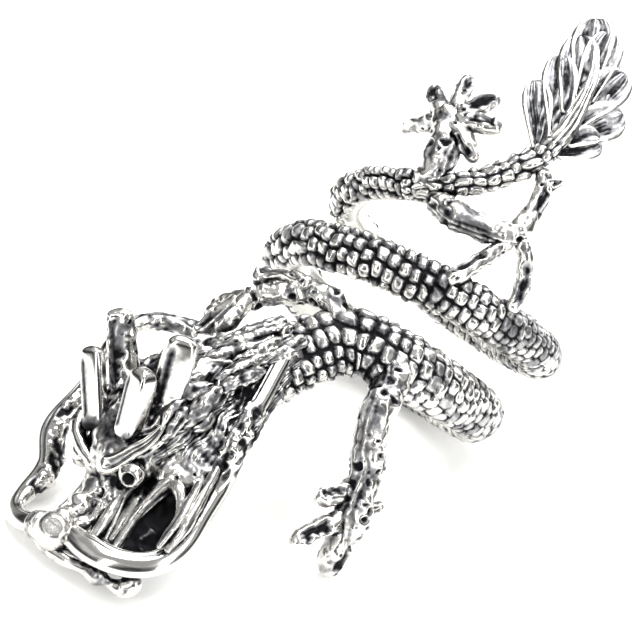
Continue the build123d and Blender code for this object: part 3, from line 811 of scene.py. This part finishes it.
# Brows
# A polished almond with a raised rim round the near eye, which is sunk smooth inside it, two rods
# over the far one, and below each eye a bead with a hole pressed into it.
brow_width = 1.5
bead_d = 2.1
NEAR_EYE = (
    # forward, turn from up to the left, lift, width, on the skull
    (0.743, 8, 1.6, 0.85), (0.74, 17, 1.58, 1.15), (0.728, 27, 1.5, 1.05), (0.703, 38, 1.4, 0.9),
    (0.67, 49, 1.3, 0.78), (0.63, 56, 1.22, 0.64), (0.588, 58, 1.15, 0.5), (0.552, 58, 1.1, 0.36),
    (0.515, 56, 1.05, 0.22),
)
eye_flat = 0.62
FAR_BROWS = (
    (
        (0.75, -0.02, 0.28, 0.45), (0.7, -0.34, 0.42, 0.85), (0.63, -0.52, 0.44, 0.95),
        (0.57, -0.6, 0.44, 0.5),
    ),
    (
        (0.73, -0.05, 0.22, 0.5), (0.69, -0.3, 0.32, 0.8), (0.63, -0.44, 0.32, 0.8),
        (0.57, -0.5, 0.34, 0.4),
    ),
)
# forward, turn and lift of the near bead and of the far one
BEADS = ((0.712, 63, 1.22), (0.712, -63, 1.22))


def on_skull(table, thick):
    """Rows of forward, turn from up to the left, lift and size, as points of the ring's frame.

    A lift of 1 is on the skull's own oval."""
    rows = np.array(table, float)
    side, up, width, height = (np.interp(rows[:, 0], section[:, 0], section[:, c]) for c in (1, 2, 3, 4))
    turned = np.radians(rows[:, 1])
    placed = np.stack([
        rows[:, 0],
        side + rows[:, 2] * width * np.sin(turned),
        up + 0.5 * rows[:, 2] * height * np.cos(turned),
        rows[:, 3],
    ], axis=1)
    return on_head(placed, thick)


def smooth_skin(run, turn, grid):
    """Relief of a polished part: only a slight unevenness."""
    return 0.02 * grain(grid, 0.8, 95), 0.0


def rimmed(run, turn, grid):
    """Relief of an eye: a raised rim, and a smooth hollow inside it."""
    share = run / run.max()
    across = np.sin(turn)
    inside = step(across, -0.55, -0.35) * (1 - step(across, 0.35, 0.55)) * (np.cos(turn) > 0)
    inside = inside * step(share, 0.1, 0.22) * (1 - step(share, 0.86, 0.96))
    ball = np.exp(-((share - 0.55) / 0.22) ** 2 - ((across + 0.05) / 0.3) ** 2)
    return -0.3 * inside + 0.16 * inside * ball, inside * (0.45 - 0.3 * ball)


def pierced(side):
    """Relief of a bead: worked metal, with a black hole in the part that looks outwards and forwards."""
    worked = carved(0.05, 0.5, 97, 0.3, 0.2)

    def relief(run, turn, grid):
        hole = step(looking(grid, (0.753, side * 0.581, 0.298)), 0.83, 0.89)
        rise, shade = worked(run, turn, grid)
        return rise - 0.5 * hole, shade + 1.5 * hole
    return relief


eye = on_skull(NEAR_EYE, brow_width)
eye[:, 4] *= eye_flat
brow_skins = [limb(eye, rimmed, 72, 0.06, (0.3, 0.75, 0.6))]
for turned in BEADS:
    middle = on_skull([(*turned, 1)], 1.0)[0, :3]
    ends = [(*(middle + (way * bead_d / 2, 0, 0)), bead_d, bead_d) for way in (-1, 1)]
    brow_skins.append(limb(ends, pierced(np.sign(turned[1])), 64, 0.05))
brow_skins += [limb(on_head(rows, brow_width), carved(0.05, 0.8, 90), 40, 0.1) for rows in FAR_BROWS]
cast("brows", brow_skins, bright_silver)
# forward, turn from up to the left, lift and width of the smooth foot of the left rear horn
HORN_FOOT = ((0.53, 24, 1.05, 0.35), (0.46, 23, 1.12, 0.5), (0.4, 23, 1.22, 0.6), (0.35, 23, 1.38, 0.6))
horn_skins.append(limb(on_skull(HORN_FOOT, brow_width), smooth_skin, 36, 0.09))
cast("horns", horn_skins, bright_silver)

# Mane
# Locks of hair that stand off the skull, each laid on by hand in the wax: a grooved blade that
# swells and comes to a point towards the neck.
hair_width = 1.7
LOCKS = (
    # rows of forward, turn from up to the left, lift, thickness
    ((0.5, 74, 1.0, 0.5), (0.44, 70, 1.1, 0.95), (0.38, 64, 1.2, 0.95), (0.31, 61, 1.22, 0.2)),
    ((0.46, 44, 1.0, 0.5), (0.42, 46, 1.08, 0.85), (0.36, 50, 1.14, 0.8), (0.32, 55, 1.12, 0.25)),
    ((0.58, 74, 1.0, 0.4), (0.53, 68, 1.06, 0.7), (0.47, 60, 1.1, 0.75), (0.43, 60, 1.06, 0.35)),
    ((0.56, 62, 1.0, 0.4), (0.5, 52, 1.08, 0.7), (0.45, 50, 1.08, 0.7), (0.4, 56, 1.02, 0.35)),
    ((0.47, 90, 1.0, 0.6), (0.42, 92, 1.06, 0.8), (0.38, 86, 1.04, 0.4)),
    ((0.31, 66, 1.0, 0.4), (0.25, 68, 1.1, 0.75), (0.19, 72, 1.14, 0.8), (0.13, 74, 1.1, 0.4)),
    ((0.3, 50, 1.0, 0.4), (0.22, 52, 1.1, 0.7), (0.14, 54, 1.14, 0.7), (0.04, 58, 1.1, 0.35)),
    ((0.3, 18, 1.0, 0.4), (0.22, 20, 1.1, 0.7), (0.13, 28, 1.14, 0.7), (0.02, 38, 1.1, 0.35)),
    ((0.2, 40, 1.0, 0.4), (0.13, 42, 1.12, 0.8), (0.05, 46, 1.16, 0.7), (-0.04, 52, 1.1, 0.35)),
    ((0.2, 2, 1.0, 0.4), (0.12, 10, 1.1, 0.7), (0.03, 18, 1.12, 0.7), (-0.07, 28, 1.1, 0.35)),
    ((0.14, -16, 1.0, 0.4), (0.06, -6, 1.1, 0.7), (-0.02, 6, 1.12, 0.7), (-0.08, 14, 1.1, 0.35)),
    ((0.54, 30, 1.0, 0.4), (0.47, 28, 1.08, 0.7), (0.39, 34, 1.12, 0.7), (0.31, 40, 1.05, 0.3)),
    ((0.12, 62, 1.0, 0.4), (0.06, 66, 1.12, 0.8), (-0.01, 72, 1.16, 0.7), (-0.07, 80, 1.1, 0.35)),
)
FAR_SHIFT = 0.02
# locks left out on the far side, where the ring is open under the right foreleg
FAR_LEFT_OUT = (8, 9, 10, 12)
strands = []
for side, shift in ((1, 0.0), (-1, FAR_SHIFT)):
    for k, rows in enumerate(LOCKS):
        if side < 0 and k in FAR_LEFT_OUT:
            continue
        turned = [
            (forward + shift, side * (turn_deg + 30 * shift), lift, thick)
            for forward, turn_deg, lift, thick in rows
        ]
        strands.append(limb(on_skull(turned, hair_width), combed(4, 0.16, 100 + k, 0.0, 0.56), 40, 0.11))
cast("mane", strands, worn_silver)

# Legs
# Four legs of round cast rod with pitted skin, bent off the body and back onto it, with toes
# that end in hollow claws.
foreleg_reach = 16.0
foreleg_d = 2.4
arm_reach = 8.0
arm_d = 1.9
hind_reach = 8.0
hind_d = 2.1
toe_d = 1.4
LEFT_FORELEG = (
    # name, rows of reach, turn, lift, diameter
    ("leg", (
        (0.0, 64, 0.45, 1.1), (0.1, 69.7, 0.74, 1.15), (0.235, 72.3, 0.92, 1.15), (0.355, 77, 0.98, 1.12),
        (0.445, 83, 1.01, 1.15), (0.535, 89.5, 1.02, 1.1), (0.64, 94.5, 1.0, 1.25),
        (0.74, 102.5, 1.0, 1.15), (0.8, 106, 0.97, 0.7),
    )),
    ("middle toe", (
        (0.7, 96, 0.94, 1.1), (0.79, 94.5, 0.97, 1.15), (0.9, 91, 1.0, 1.15), (1.0, 89, 1.0, 1.1),
        (1.05, 88, 1.0, 0.6),
    )),
    ("lower toe", (
        (0.69, 98, 0.94, 1.4), (0.8, 104, 0.97, 1.6), (0.89, 110.5, 0.97, 1.6), (0.945, 113.5, 0.94, 0.9),
    )),
    ("upper toe", (
        (0.6, 90, 0.9, 1.2), (0.69, 87.3, 0.91, 1.0), (0.77, 84, 0.88, 1.1), (0.81, 82.5, 0.86, 0.6),
    )),
    ("spur", ((0.66, 97, 0.92, 1.1), (0.57, 103.5, 0.92, 0.9), (0.49, 108, 0.92, 0.6))),
)
RIGHT_FORELEG = (
    ("leg", (
        (0.0, 40, 0.45, 1.0), (-0.17, 32, 0.66, 1.0), (-0.16, 24, 0.62, 1.05), (-0.06, 17, 0.7, 1.0),
        (0.12, 11, 0.78, 0.95), (0.27, 5, 0.83, 1.0), (0.4, 1, 0.84, 1.0),
    )),
    ("hollow toe", (
        (0.3, 4, 0.94, 1.2), (0.52, 5, 0.94, 1.1), (0.74, 5.6, 0.9, 1.25), (0.84, 5.8, 0.87, 0.8),
    )),
    ("middle toe", (
        (0.36, 1, 0.86, 1.2), (0.62, -2, 0.84, 1.0), (0.86, -4, 0.8, 0.9), (0.97, -4.5, 0.8, 0.5),
    )),
    ("outer toe", (
        (0.3, 3, 0.84, 1.1), (0.4, -5, 0.83, 1.1), (0.54, -11, 0.78, 1.0), (0.64, -14, 0.72, 0.6),
    )),
    ("thumb", (
        (-0.12, 21, 0.88, 1.0), (-0.08, 12, 0.97, 0.8), (0.0, 4, 0.97, 0.8), (0.08, -1, 0.95, 1.1),
        (0.12, -3, 0.93, 0.6),
    )),
)
RIGHT_HINDLEG = (
    ("leg", (
        (-0.04, 19, 0.4, 1.2), (-0.28, 16.5, 0.68, 1.3), (-0.45, 15, 0.84, 1.3), (-0.62, 10.5, 0.96, 1.1),
        (-0.82, 6.4, 1.03, 1.1), (-0.93, 4.5, 1.03, 0.7),
    )),
    ("toe 1", ((-0.74, 5, 0.94, 1.2), (-0.69, -7, 0.88, 1.05), (-0.61, -17, 0.8, 0.6))),
    ("toe 2", ((-0.84, 4, 1.03, 1.2), (-0.97, -6, 1.1, 1.2), (-1.12, -12, 1.13, 0.85))),
    ("toe 3", ((-0.88, 7, 1.03, 1.2), (-1.14, 3.5, 1.13, 1.1), (-1.36, 0.2, 1.15, 0.9))),
    ("toe 4", ((-0.86, 10, 1.03, 1.2), (-1.07, 14.5, 1.13, 1.2), (-1.28, 18.5, 1.15, 0.9))),
    ("toe 5", ((-0.8, 10, 1.0, 1.2), (-0.9, 20, 1.1, 1.2), (-1.0, 28, 1.13, 0.9))),
    ("toe 6", ((-0.76, 10, 1.0, 1.4), (-0.66, 20, 0.94, 1.3), (-0.57, 29, 0.85, 0.6))),
)
LEFT_HINDLEG = (
    ("leg", (
        (0.0, 24, 0.4, 0.9), (0.06, 33, 0.66, 1.0), (0.08, 38.5, 0.78, 1.1), (0.01, 48, 0.88, 1.05),
        (-0.1, 56, 0.92, 0.9), (-0.3, 63, 0.94, 0.8),
    )),
    ("toe to the tail", (
        (-0.2, 61, 0.9, 1.5), (-0.46, 59.5, 0.92, 1.25), (-0.68, 57, 0.91, 1.05),
        (-0.83, 54.5, 0.85, 1.1), (-0.96, 49, 0.8, 1.0),
    )),
    ("spur", ((-0.78, 55, 0.86, 1.1), (-0.92, 57, 0.86, 0.8), (-1.02, 58.5, 0.86, 0.4))),
    ("toe to the body", (
        (-0.16, 61, 0.92, 1.0), (0.12, 59.6, 0.89, 0.95), (0.36, 58, 0.86, 1.0), (0.57, 56, 0.84, 1.0),
        (0.68, 55, 0.7, 0.8),
    )),
    ("outer toe", (
        (-0.24, 62, 0.94, 1.0), (-0.18, 67.5, 0.92, 0.95), (-0.07, 73.5, 0.88, 1.0),
        (0.12, 79, 0.85, 1.0), (0.32, 82, 0.78, 0.8),
    )),
)


def coil_x(turn_deg):
    """Place along the finger of the leaning coil at a turn from the top."""
    return body_start_x - body_pitch * turn_deg / 360 + body_lean * math.cos(math.radians(turn_deg))


def on_ring(table, root_x, reach, thick):
    """Rows of reach, turn, lift and diameter, as points of the ring's frame with width and depth."""
    rows = np.array(table, float)
    place = around(root_x + rows[:, 0] * reach, rows[:, 1], rows[:, 2])
    return np.concatenate([place, rows[:, [3, 3]] * thick], axis=1)


def clawed(height, seed, side):
    """Relief of a toe: worked metal with its underside hollowed, dark and open to one side."""
    worked = carved(height, 0.7, seed, 0.25, 0.22)

    def relief(run, turn, grid):
        share = run / run.max()
        rise, shade = worked(run, turn, grid)
        ragged = grain(grid, 0.6, seed + 8)
        window = step(share + 0.1 * ragged, 0.3, 0.48) * (1 - step(share + 0.08 * ragged, 0.8, 0.9))
        hollow = window * step(np.cos(turn - side) + 0.16 * ragged, 0.7, 0.95)
        return rise - 0.34 * hollow, shade + hollow * (0.62 + 0.6 * ragged)
    return relief


def pitted(seed):
    """Relief of a leg: smooth lumps with many pits, and streaks along one side, which is darkened as painted
    shade.
    """
    worked = carved(0.2, 0.85, seed, 0.45, 0.36)

    def relief(run, turn, grid):
        rise, shade = worked(run, turn, grid)
        streaks = np.cos(14 * turn + 2.5 * grain(grid, 1.6, seed + 20))
        streaks = streaks * (0.6 + 0.6 * grain(grid, 0.9, seed + 21))
        # painted shade: this side of the leg is darkened, with dark lines between the streaks
        upper = step(np.sin(turn), 0.25, 0.85)
        return rise + 0.07 * upper * streaks, shade + upper * (0.3 - 0.4 * streaks)
    return relief


LEGS = (
    # name, place of the root along the finger, reach and diameter of the leg, its parts
    ("left_foreleg", coil_x(64), foreleg_reach, foreleg_d, LEFT_FORELEG),
    ("right_foreleg", coil_x(40), arm_reach, arm_d, RIGHT_FORELEG),
    ("right_hind_leg", coil_x(720 + 17), hind_reach, hind_d, RIGHT_HINDLEG),
    ("left_hind_leg", coil_x(720 + 24), hind_reach, hind_d, LEFT_HINDLEG),
)
for seed, (name, root_x, reach, leg_d, tables) in enumerate(LEGS):
    leg_skins = []
    for k, (part, rows) in enumerate(tables):
        grain_seed = 120 + 10 * seed + k
        leg = part == "leg"
        relief = pitted(grain_seed) if leg else clawed(0.13, grain_seed, 0.9 - 0.5 * (k % 3))
        leg_skins.append(limb(on_ring(rows, root_x, reach, leg_d if leg else toe_d), relief, 56, 0.11))
    cast(name, leg_skins, worn_silver)

# Tail
# A stem that leaves the last turn of the body, and eight blades that spread from it over a thin
# web like a leaf, each cast with ribs along it and polished on the ribs.
tail_length = 21.5
tail_d = 1.9
plate_length = 1.15
plate_columns = 7
fan_blade = 3.604
fan_thick = 0.9
web_thick = 0.6
web_lift = 0.82
blade_lift = 0.9
TAIL = (
    # share of the length, turn, lift, thickness
    (0.0, 8, 0.4, 0.95),
    (0.08, 23, 0.56, 0.95),
    (0.155, 32.5, 0.65, 1.15),
    (0.29, 41, 0.74, 1.15),
    (0.39, 44.5, 0.79, 1.1),
    (0.51, 45.6, 0.9, 0.9),
    (0.65, 42.7, 0.98, 0.62),
    (0.78, 38.3, 1.02, 0.42),
    (0.9, 30.0, 1.03, 0.25),
)
BLADES = (
    # share of the length and turn at the stem, then at the tip, width
    (0.42, 44.0, 0.659, 20.8, 0.62),
    (0.52, 44.0, 0.81, 20.2, 0.74),
    (0.62, 42.0, 0.936, 20.0, 0.84),
    (0.74, 38.0, 1.037, 18.8, 0.9),
    (0.7, 41.0, 1.015, 28.0, 0.8),
    (0.6, 44.0, 0.915, 44.0, 0.85),
    (0.52, 46.0, 0.787, 54.9, 0.84),
    (0.46, 47.0, 0.645, 56.5, 0.74),
)
BLADE_SWELL = (
    (0.0, 0.6), (0.3, 0.9), (0.6, 1.15), (0.8, 1.1), (0.91, 0.88), (0.97, 0.6), (1.0, 0.35),
)
WEB = (
    # share of the length, turn, width in millimetres
    (0.36, 45.5, 1.2), (0.5, 43.0, 3.6), (0.62, 40.0, 5.2), (0.75, 36.5, 5.4), (0.88, 31.0, 4.4),
    (0.97, 26.5, 2.6),
)


def ribbed(run, turn, grid):
    """Relief of a blade: a thick rim, and broad and fine ribs inside it that sink and darken to the stem."""
    share = run / run.max()
    across = np.sin(turn)
    inside = 1 - step(np.abs(across), 0.56, 0.88)
    ribs = np.cos(3.2 * np.pi * across + 1.6 * grain(grid, 2.0, 160)) * (0.5 + 0.7 * grain(grid, 1.2, 163))
    fine = np.cos(10 * np.pi * across + 2.5 * grain(grid, 1.5, 164)) * (0.5 + 0.8 * grain(grid, 0.7, 165))
    deep = 1 - step(share, 0.25, 0.95)
    rise = inside * (0.09 * ribs + 0.04 * fine - 0.17 - 0.24 * deep) + 0.03 * grain(grid, 0.4, 161)
    dark = 0.24 + 0.38 * step(-ribs, 0.0, 0.7) + 0.35 * step(-fine, 0.0, 0.6)
    shade = 0.08 + inside * (dark + 0.7 * deep * (0.6 + 0.6 * grain(grid, 0.5, 162)))
    return rise, shade


def plated(run, turn, grid):
    """Relief of the stem: long flat scales that rise towards the fan, and veins from where it opens."""
    share = run / run.max()
    rows = run / plate_length + 0.45 * grain(grid, 1.3, 171)
    row = np.floor(rows).astype(np.int64)
    columns = turn / (2 * np.pi) * plate_columns + dice(row[..., None], 175) + 0.35 * grain(grid, 1.4, 172)
    column = np.floor(columns).astype(np.int64) % plate_columns
    cell = np.stack([row, column], axis=-1)
    p = rows - row
    b = 2 * (columns % 1) - 1
    pad = np.clip(1 - np.abs(b / 0.9) ** 2.6 - np.abs(2 * p - 1) ** 3, 0, 1) ** 0.5
    scaly = 0.34 * (pad * (0.5 + 0.5 * p + 0.6 * (dice(cell, 173) - 0.5)) - 0.5)
    scaly = scaly + 0.14 * grain(grid, 0.8, 176)
    veins = np.cos(9 * turn + 1.5 * grain(grid, 2.0, 177)) * (0.6 + 0.5 * grain(grid, 1.5, 178))
    leaf = step(share, 0.5, 0.66)
    rise = (1 - leaf) * scaly + leaf * 0.1 * veins + 0.05 * grain(grid, 0.4, 174)
    return rise, (1 - leaf) * 0.95 * (1 - step(pad, 0.1, 0.75)) + leaf * 0.7 * step(-veins, 0.1, 0.8)


def veined(run, turn, grid):
    """Relief of the web between the blades: uneven ribs that fan out from the stem, darker between them."""
    share = run / run.max()
    across = np.sin(turn)
    ribs = np.cos(7 * np.pi * across * (1.3 - 0.5 * share) + 2.2 * grain(grid, 2.0, 180))
    ribs = ribs * (0.6 + 0.7 * grain(grid, 1.0, 181))
    return 0.09 * ribs + 0.05 * grain(grid, 0.4, 182), 0.45 + 0.45 * step(-ribs, 0.0, 0.7)


tail_x = coil_x(728)
cast("tail_stem", [limb(on_ring(TAIL, tail_x, -tail_length, tail_d), plated, 60, 0.11)], worn_silver)
web = [
    (*around(tail_x - share * tail_length, turn_deg, web_lift), wide, web_thick)
    for share, turn_deg, wide in WEB
]
blades = [limb(web, veined, 120, 0.11)]
for stem_share, stem_turn, tip_share, tip_turn, wide in BLADES:
    rows = []
    for share, swell in BLADE_SWELL:
        place = around(
            tail_x - (stem_share + share * (tip_share - stem_share)) * tail_length,
            stem_turn + share * (tip_turn - stem_turn),
            blade_lift,
        )
        rows.append((*place, swell * wide * fan_blade, fan_thick))
    blades.append(limb(rows, ribbed, 84, 0.12))
cast("tail_fan", blades, worn_silver)

# Blackening
# The finished casting is dipped, which turns it black all over, and then polished: what stands
# free comes up bright, and what other metal crowds stays dark. That darkening is found as
# occlusion by nearby metal, so it is partly oxide and partly painted shade.
cell_mm = 0.25
occlusion_reach = (0.45, 0.7, 1.0, 1.4, 1.9, 2.5)
ways = 18
grain_mm = 0.33

positions = []
normals = []
for piece, _ in castings:
    count = len(piece.data.vertices)
    co = np.empty(count * 3, np.float32)
    piece.data.vertices.foreach_get("co", co)
    positions.append(co.reshape(-1, 3) * 1000)
    facing_out = np.empty(count * 3, np.float32)
    piece.data.vertex_normals.foreach_get("vector", facing_out)
    normals.append(facing_out.reshape(-1, 3))
room = occlusion_reach[-1] + 1
lowest = np.concatenate(positions).min(axis=0) - room
shape = tuple(np.ceil((np.concatenate(positions).max(axis=0) + room - lowest) / cell_mm).astype(int))
filled = np.zeros(shape, bool)
for place in positions:
    filled[tuple(((place - lowest) / cell_mm).astype(np.int32).T)] = True


def blocked(place, facing_out):
    """Share of the directions out of the surface that other metal stops within a few millimetres.

    The directions are spread evenly over a ball, and each counts by its cosine to the surface."""
    k = np.arange(ways) + 0.5
    height = 1 - 2 * k / ways
    swing = np.pi * (1 + 5 ** 0.5) * k
    flat = np.sqrt(1 - height ** 2)
    total = np.zeros(len(place))
    stopped = np.zeros(len(place))
    start = (place + 0.3 * facing_out - lowest) / cell_mm
    for way in np.stack([flat * np.cos(swing), flat * np.sin(swing), height], axis=1).astype(np.float32):
        weight = np.clip(facing_out @ way, 0, 1)
        hit = np.zeros(len(place), bool)
        for reach in occlusion_reach:
            hit |= filled[tuple((start + reach / cell_mm * way).astype(np.int32).T)]
        total += weight
        stopped += weight * hit
    return stopped / total


for (piece, shade), place, facing_out in zip(castings, positions, normals):
    # painted shade: metal hemmed in by other metal is darkened as occlusion, which also stands for oxide the
    # polish misses
    occlusion_shade_and_oxide = step(blocked(place, facing_out), 0.25, 0.85)
    rubbed = step(grain(place, grain_mm, 200), 0.05, 0.6)
    oxide_and_painted_shade = np.clip(np.clip(shade, 0, 0.9) + occlusion_shade_and_oxide * (0.72 - 0.65 * rubbed) + (shade > 1.3), 0, 1)
    attribute = piece.data.attributes.new("oxide_and_painted_shade", "FLOAT", "POINT")
    attribute.data.foreach_set("value", oxide_and_painted_shade.astype(np.float32))

# Studio
# A pale paper floor under soft light: a broad lamp above and strips from the left, the front and
# the back, in a tent whose dark fold gives the polished metal its dark edges.
camera_distance = 300.0
focal_share = 3675 / 640
sensor_mm = 36.0
to_camera = (0.375, 0.754, 0.54)
image_up = (-0.629, -0.221, 0.745)
image_right = (-0.681, 0.618, -0.391)
aim_right = -1.167
aim_up = 4.776
floor_hex = "#F4F4F2"

floor_mesh = bpy.data.meshes.new("floor")
half = 1.5
floor_corners = [(-half, -half, 0), (half, -half, 0), (half, half, 0), (-half, half, 0)]
floor_mesh.from_pydata(floor_corners, [], [(0, 1, 2, 3)])
floor = in_scene("floor", floor_mesh)
paper = bpy.data.materials.new("white_paper")
paper.use_nodes = True
paper_shader = paper.node_tree.nodes["Principled BSDF"]
paper_shader.inputs["Base Color"].default_value = linear(floor_hex)
paper_shader.inputs["Roughness"].default_value = 0.9
paper_shader.inputs["Emission Color"].default_value = linear(floor_hex)
paper_shader.inputs["Emission Strength"].default_value = 0.35
floor_mesh.materials.append(paper)

LAMPS = (
    # name, width and height in metres, power in watts, place from the ring in metres
    ("top_softbox", 0.5, 0.5, 4.4, (-0.1, -0.05, 0.5)),
    ("left_strip", 0.12, 0.6, 1.5, (0.1, 0.55, 0.3)),
    ("front_strip", 0.12, 0.6, 1.2, (0.6, 0.05, 0.25)),
    ("back_strip", 0.2, 0.6, 1.4, (-0.55, 0.1, 0.3)),
)
for name, width, height, power, place in LAMPS:
    light = bpy.data.lights.new(name, "AREA")
    light.shape = "RECTANGLE"
    light.size = width
    light.size_y = height
    light.energy = power
    lamp = in_scene(name, light)
    lamp.location = place
    lamp.rotation_euler = (-lamp.location).to_track_quat("-Z", "Y").to_euler()

world = bpy.data.worlds.new("light_tent")
bpy.context.scene.world = world
world.use_nodes = True
tree = world.node_tree
backdrop = tree.nodes["Background"]
way = add_node(tree, "ShaderNodeTexCoord")
height_up = add_node(tree, "ShaderNodeSeparateXYZ", {}, {0: way.outputs["Generated"]})
folds = add_node(
    tree, "ShaderNodeTexNoise", {"Scale": 2.2, "Detail": 1.0},
    {"Vector": way.outputs["Generated"]},
)
bent = add_node(
    tree, "ShaderNodeMath", {"operation": "MULTIPLY_ADD", 1: 0.7},
    {0: folds.outputs["Fac"], 2: height_up.outputs["Z"]},
)
bands = add_node(tree, "ShaderNodeValToRGB", {}, {"Fac": bent.outputs["Value"]})
TENT = (
    (0.0, "#B8B8B8"), (0.42, "#8C8C8C"), (0.56, "#1C1C1E"), (0.7, "#3C3C3E"), (0.84, "#8E8E90"),
    (1.0, "#B4B4B4"),
)
bands.color_ramp.elements.remove(bands.color_ramp.elements[0])
for place, hex_colour in TENT:
    bands.color_ramp.elements.new(place).color = linear(hex_colour)
tree.links.new(bands.outputs["Color"], backdrop.inputs["Color"])
backdrop.inputs["Strength"].default_value = 0.9
bpy.context.scene.view_settings.view_transform = "Standard"

camera_data = bpy.data.cameras.new("camera")
camera_data.lens = focal_share * sensor_mm
camera_data.sensor_width = sensor_mm
camera_data.clip_start = 0.01
camera = in_scene("camera", camera_data)
right, up, back = (np.array(v) / np.linalg.norm(v) for v in (image_right, image_up, to_camera))
corner, x_end, y_end, z_end, eye = laid([
    (0, 0, 0), right, up, back, aim_right * right + aim_up * up + camera_distance * back,
])
axes = np.stack([x_end - corner, y_end - corner, z_end - corner], axis=1) * 1000
matrix = np.eye(4)
matrix[:3, :3] = axes
matrix[:3, 3] = eye
camera.matrix_world = Matrix(matrix.tolist())
bpy.context.scene.camera = camera
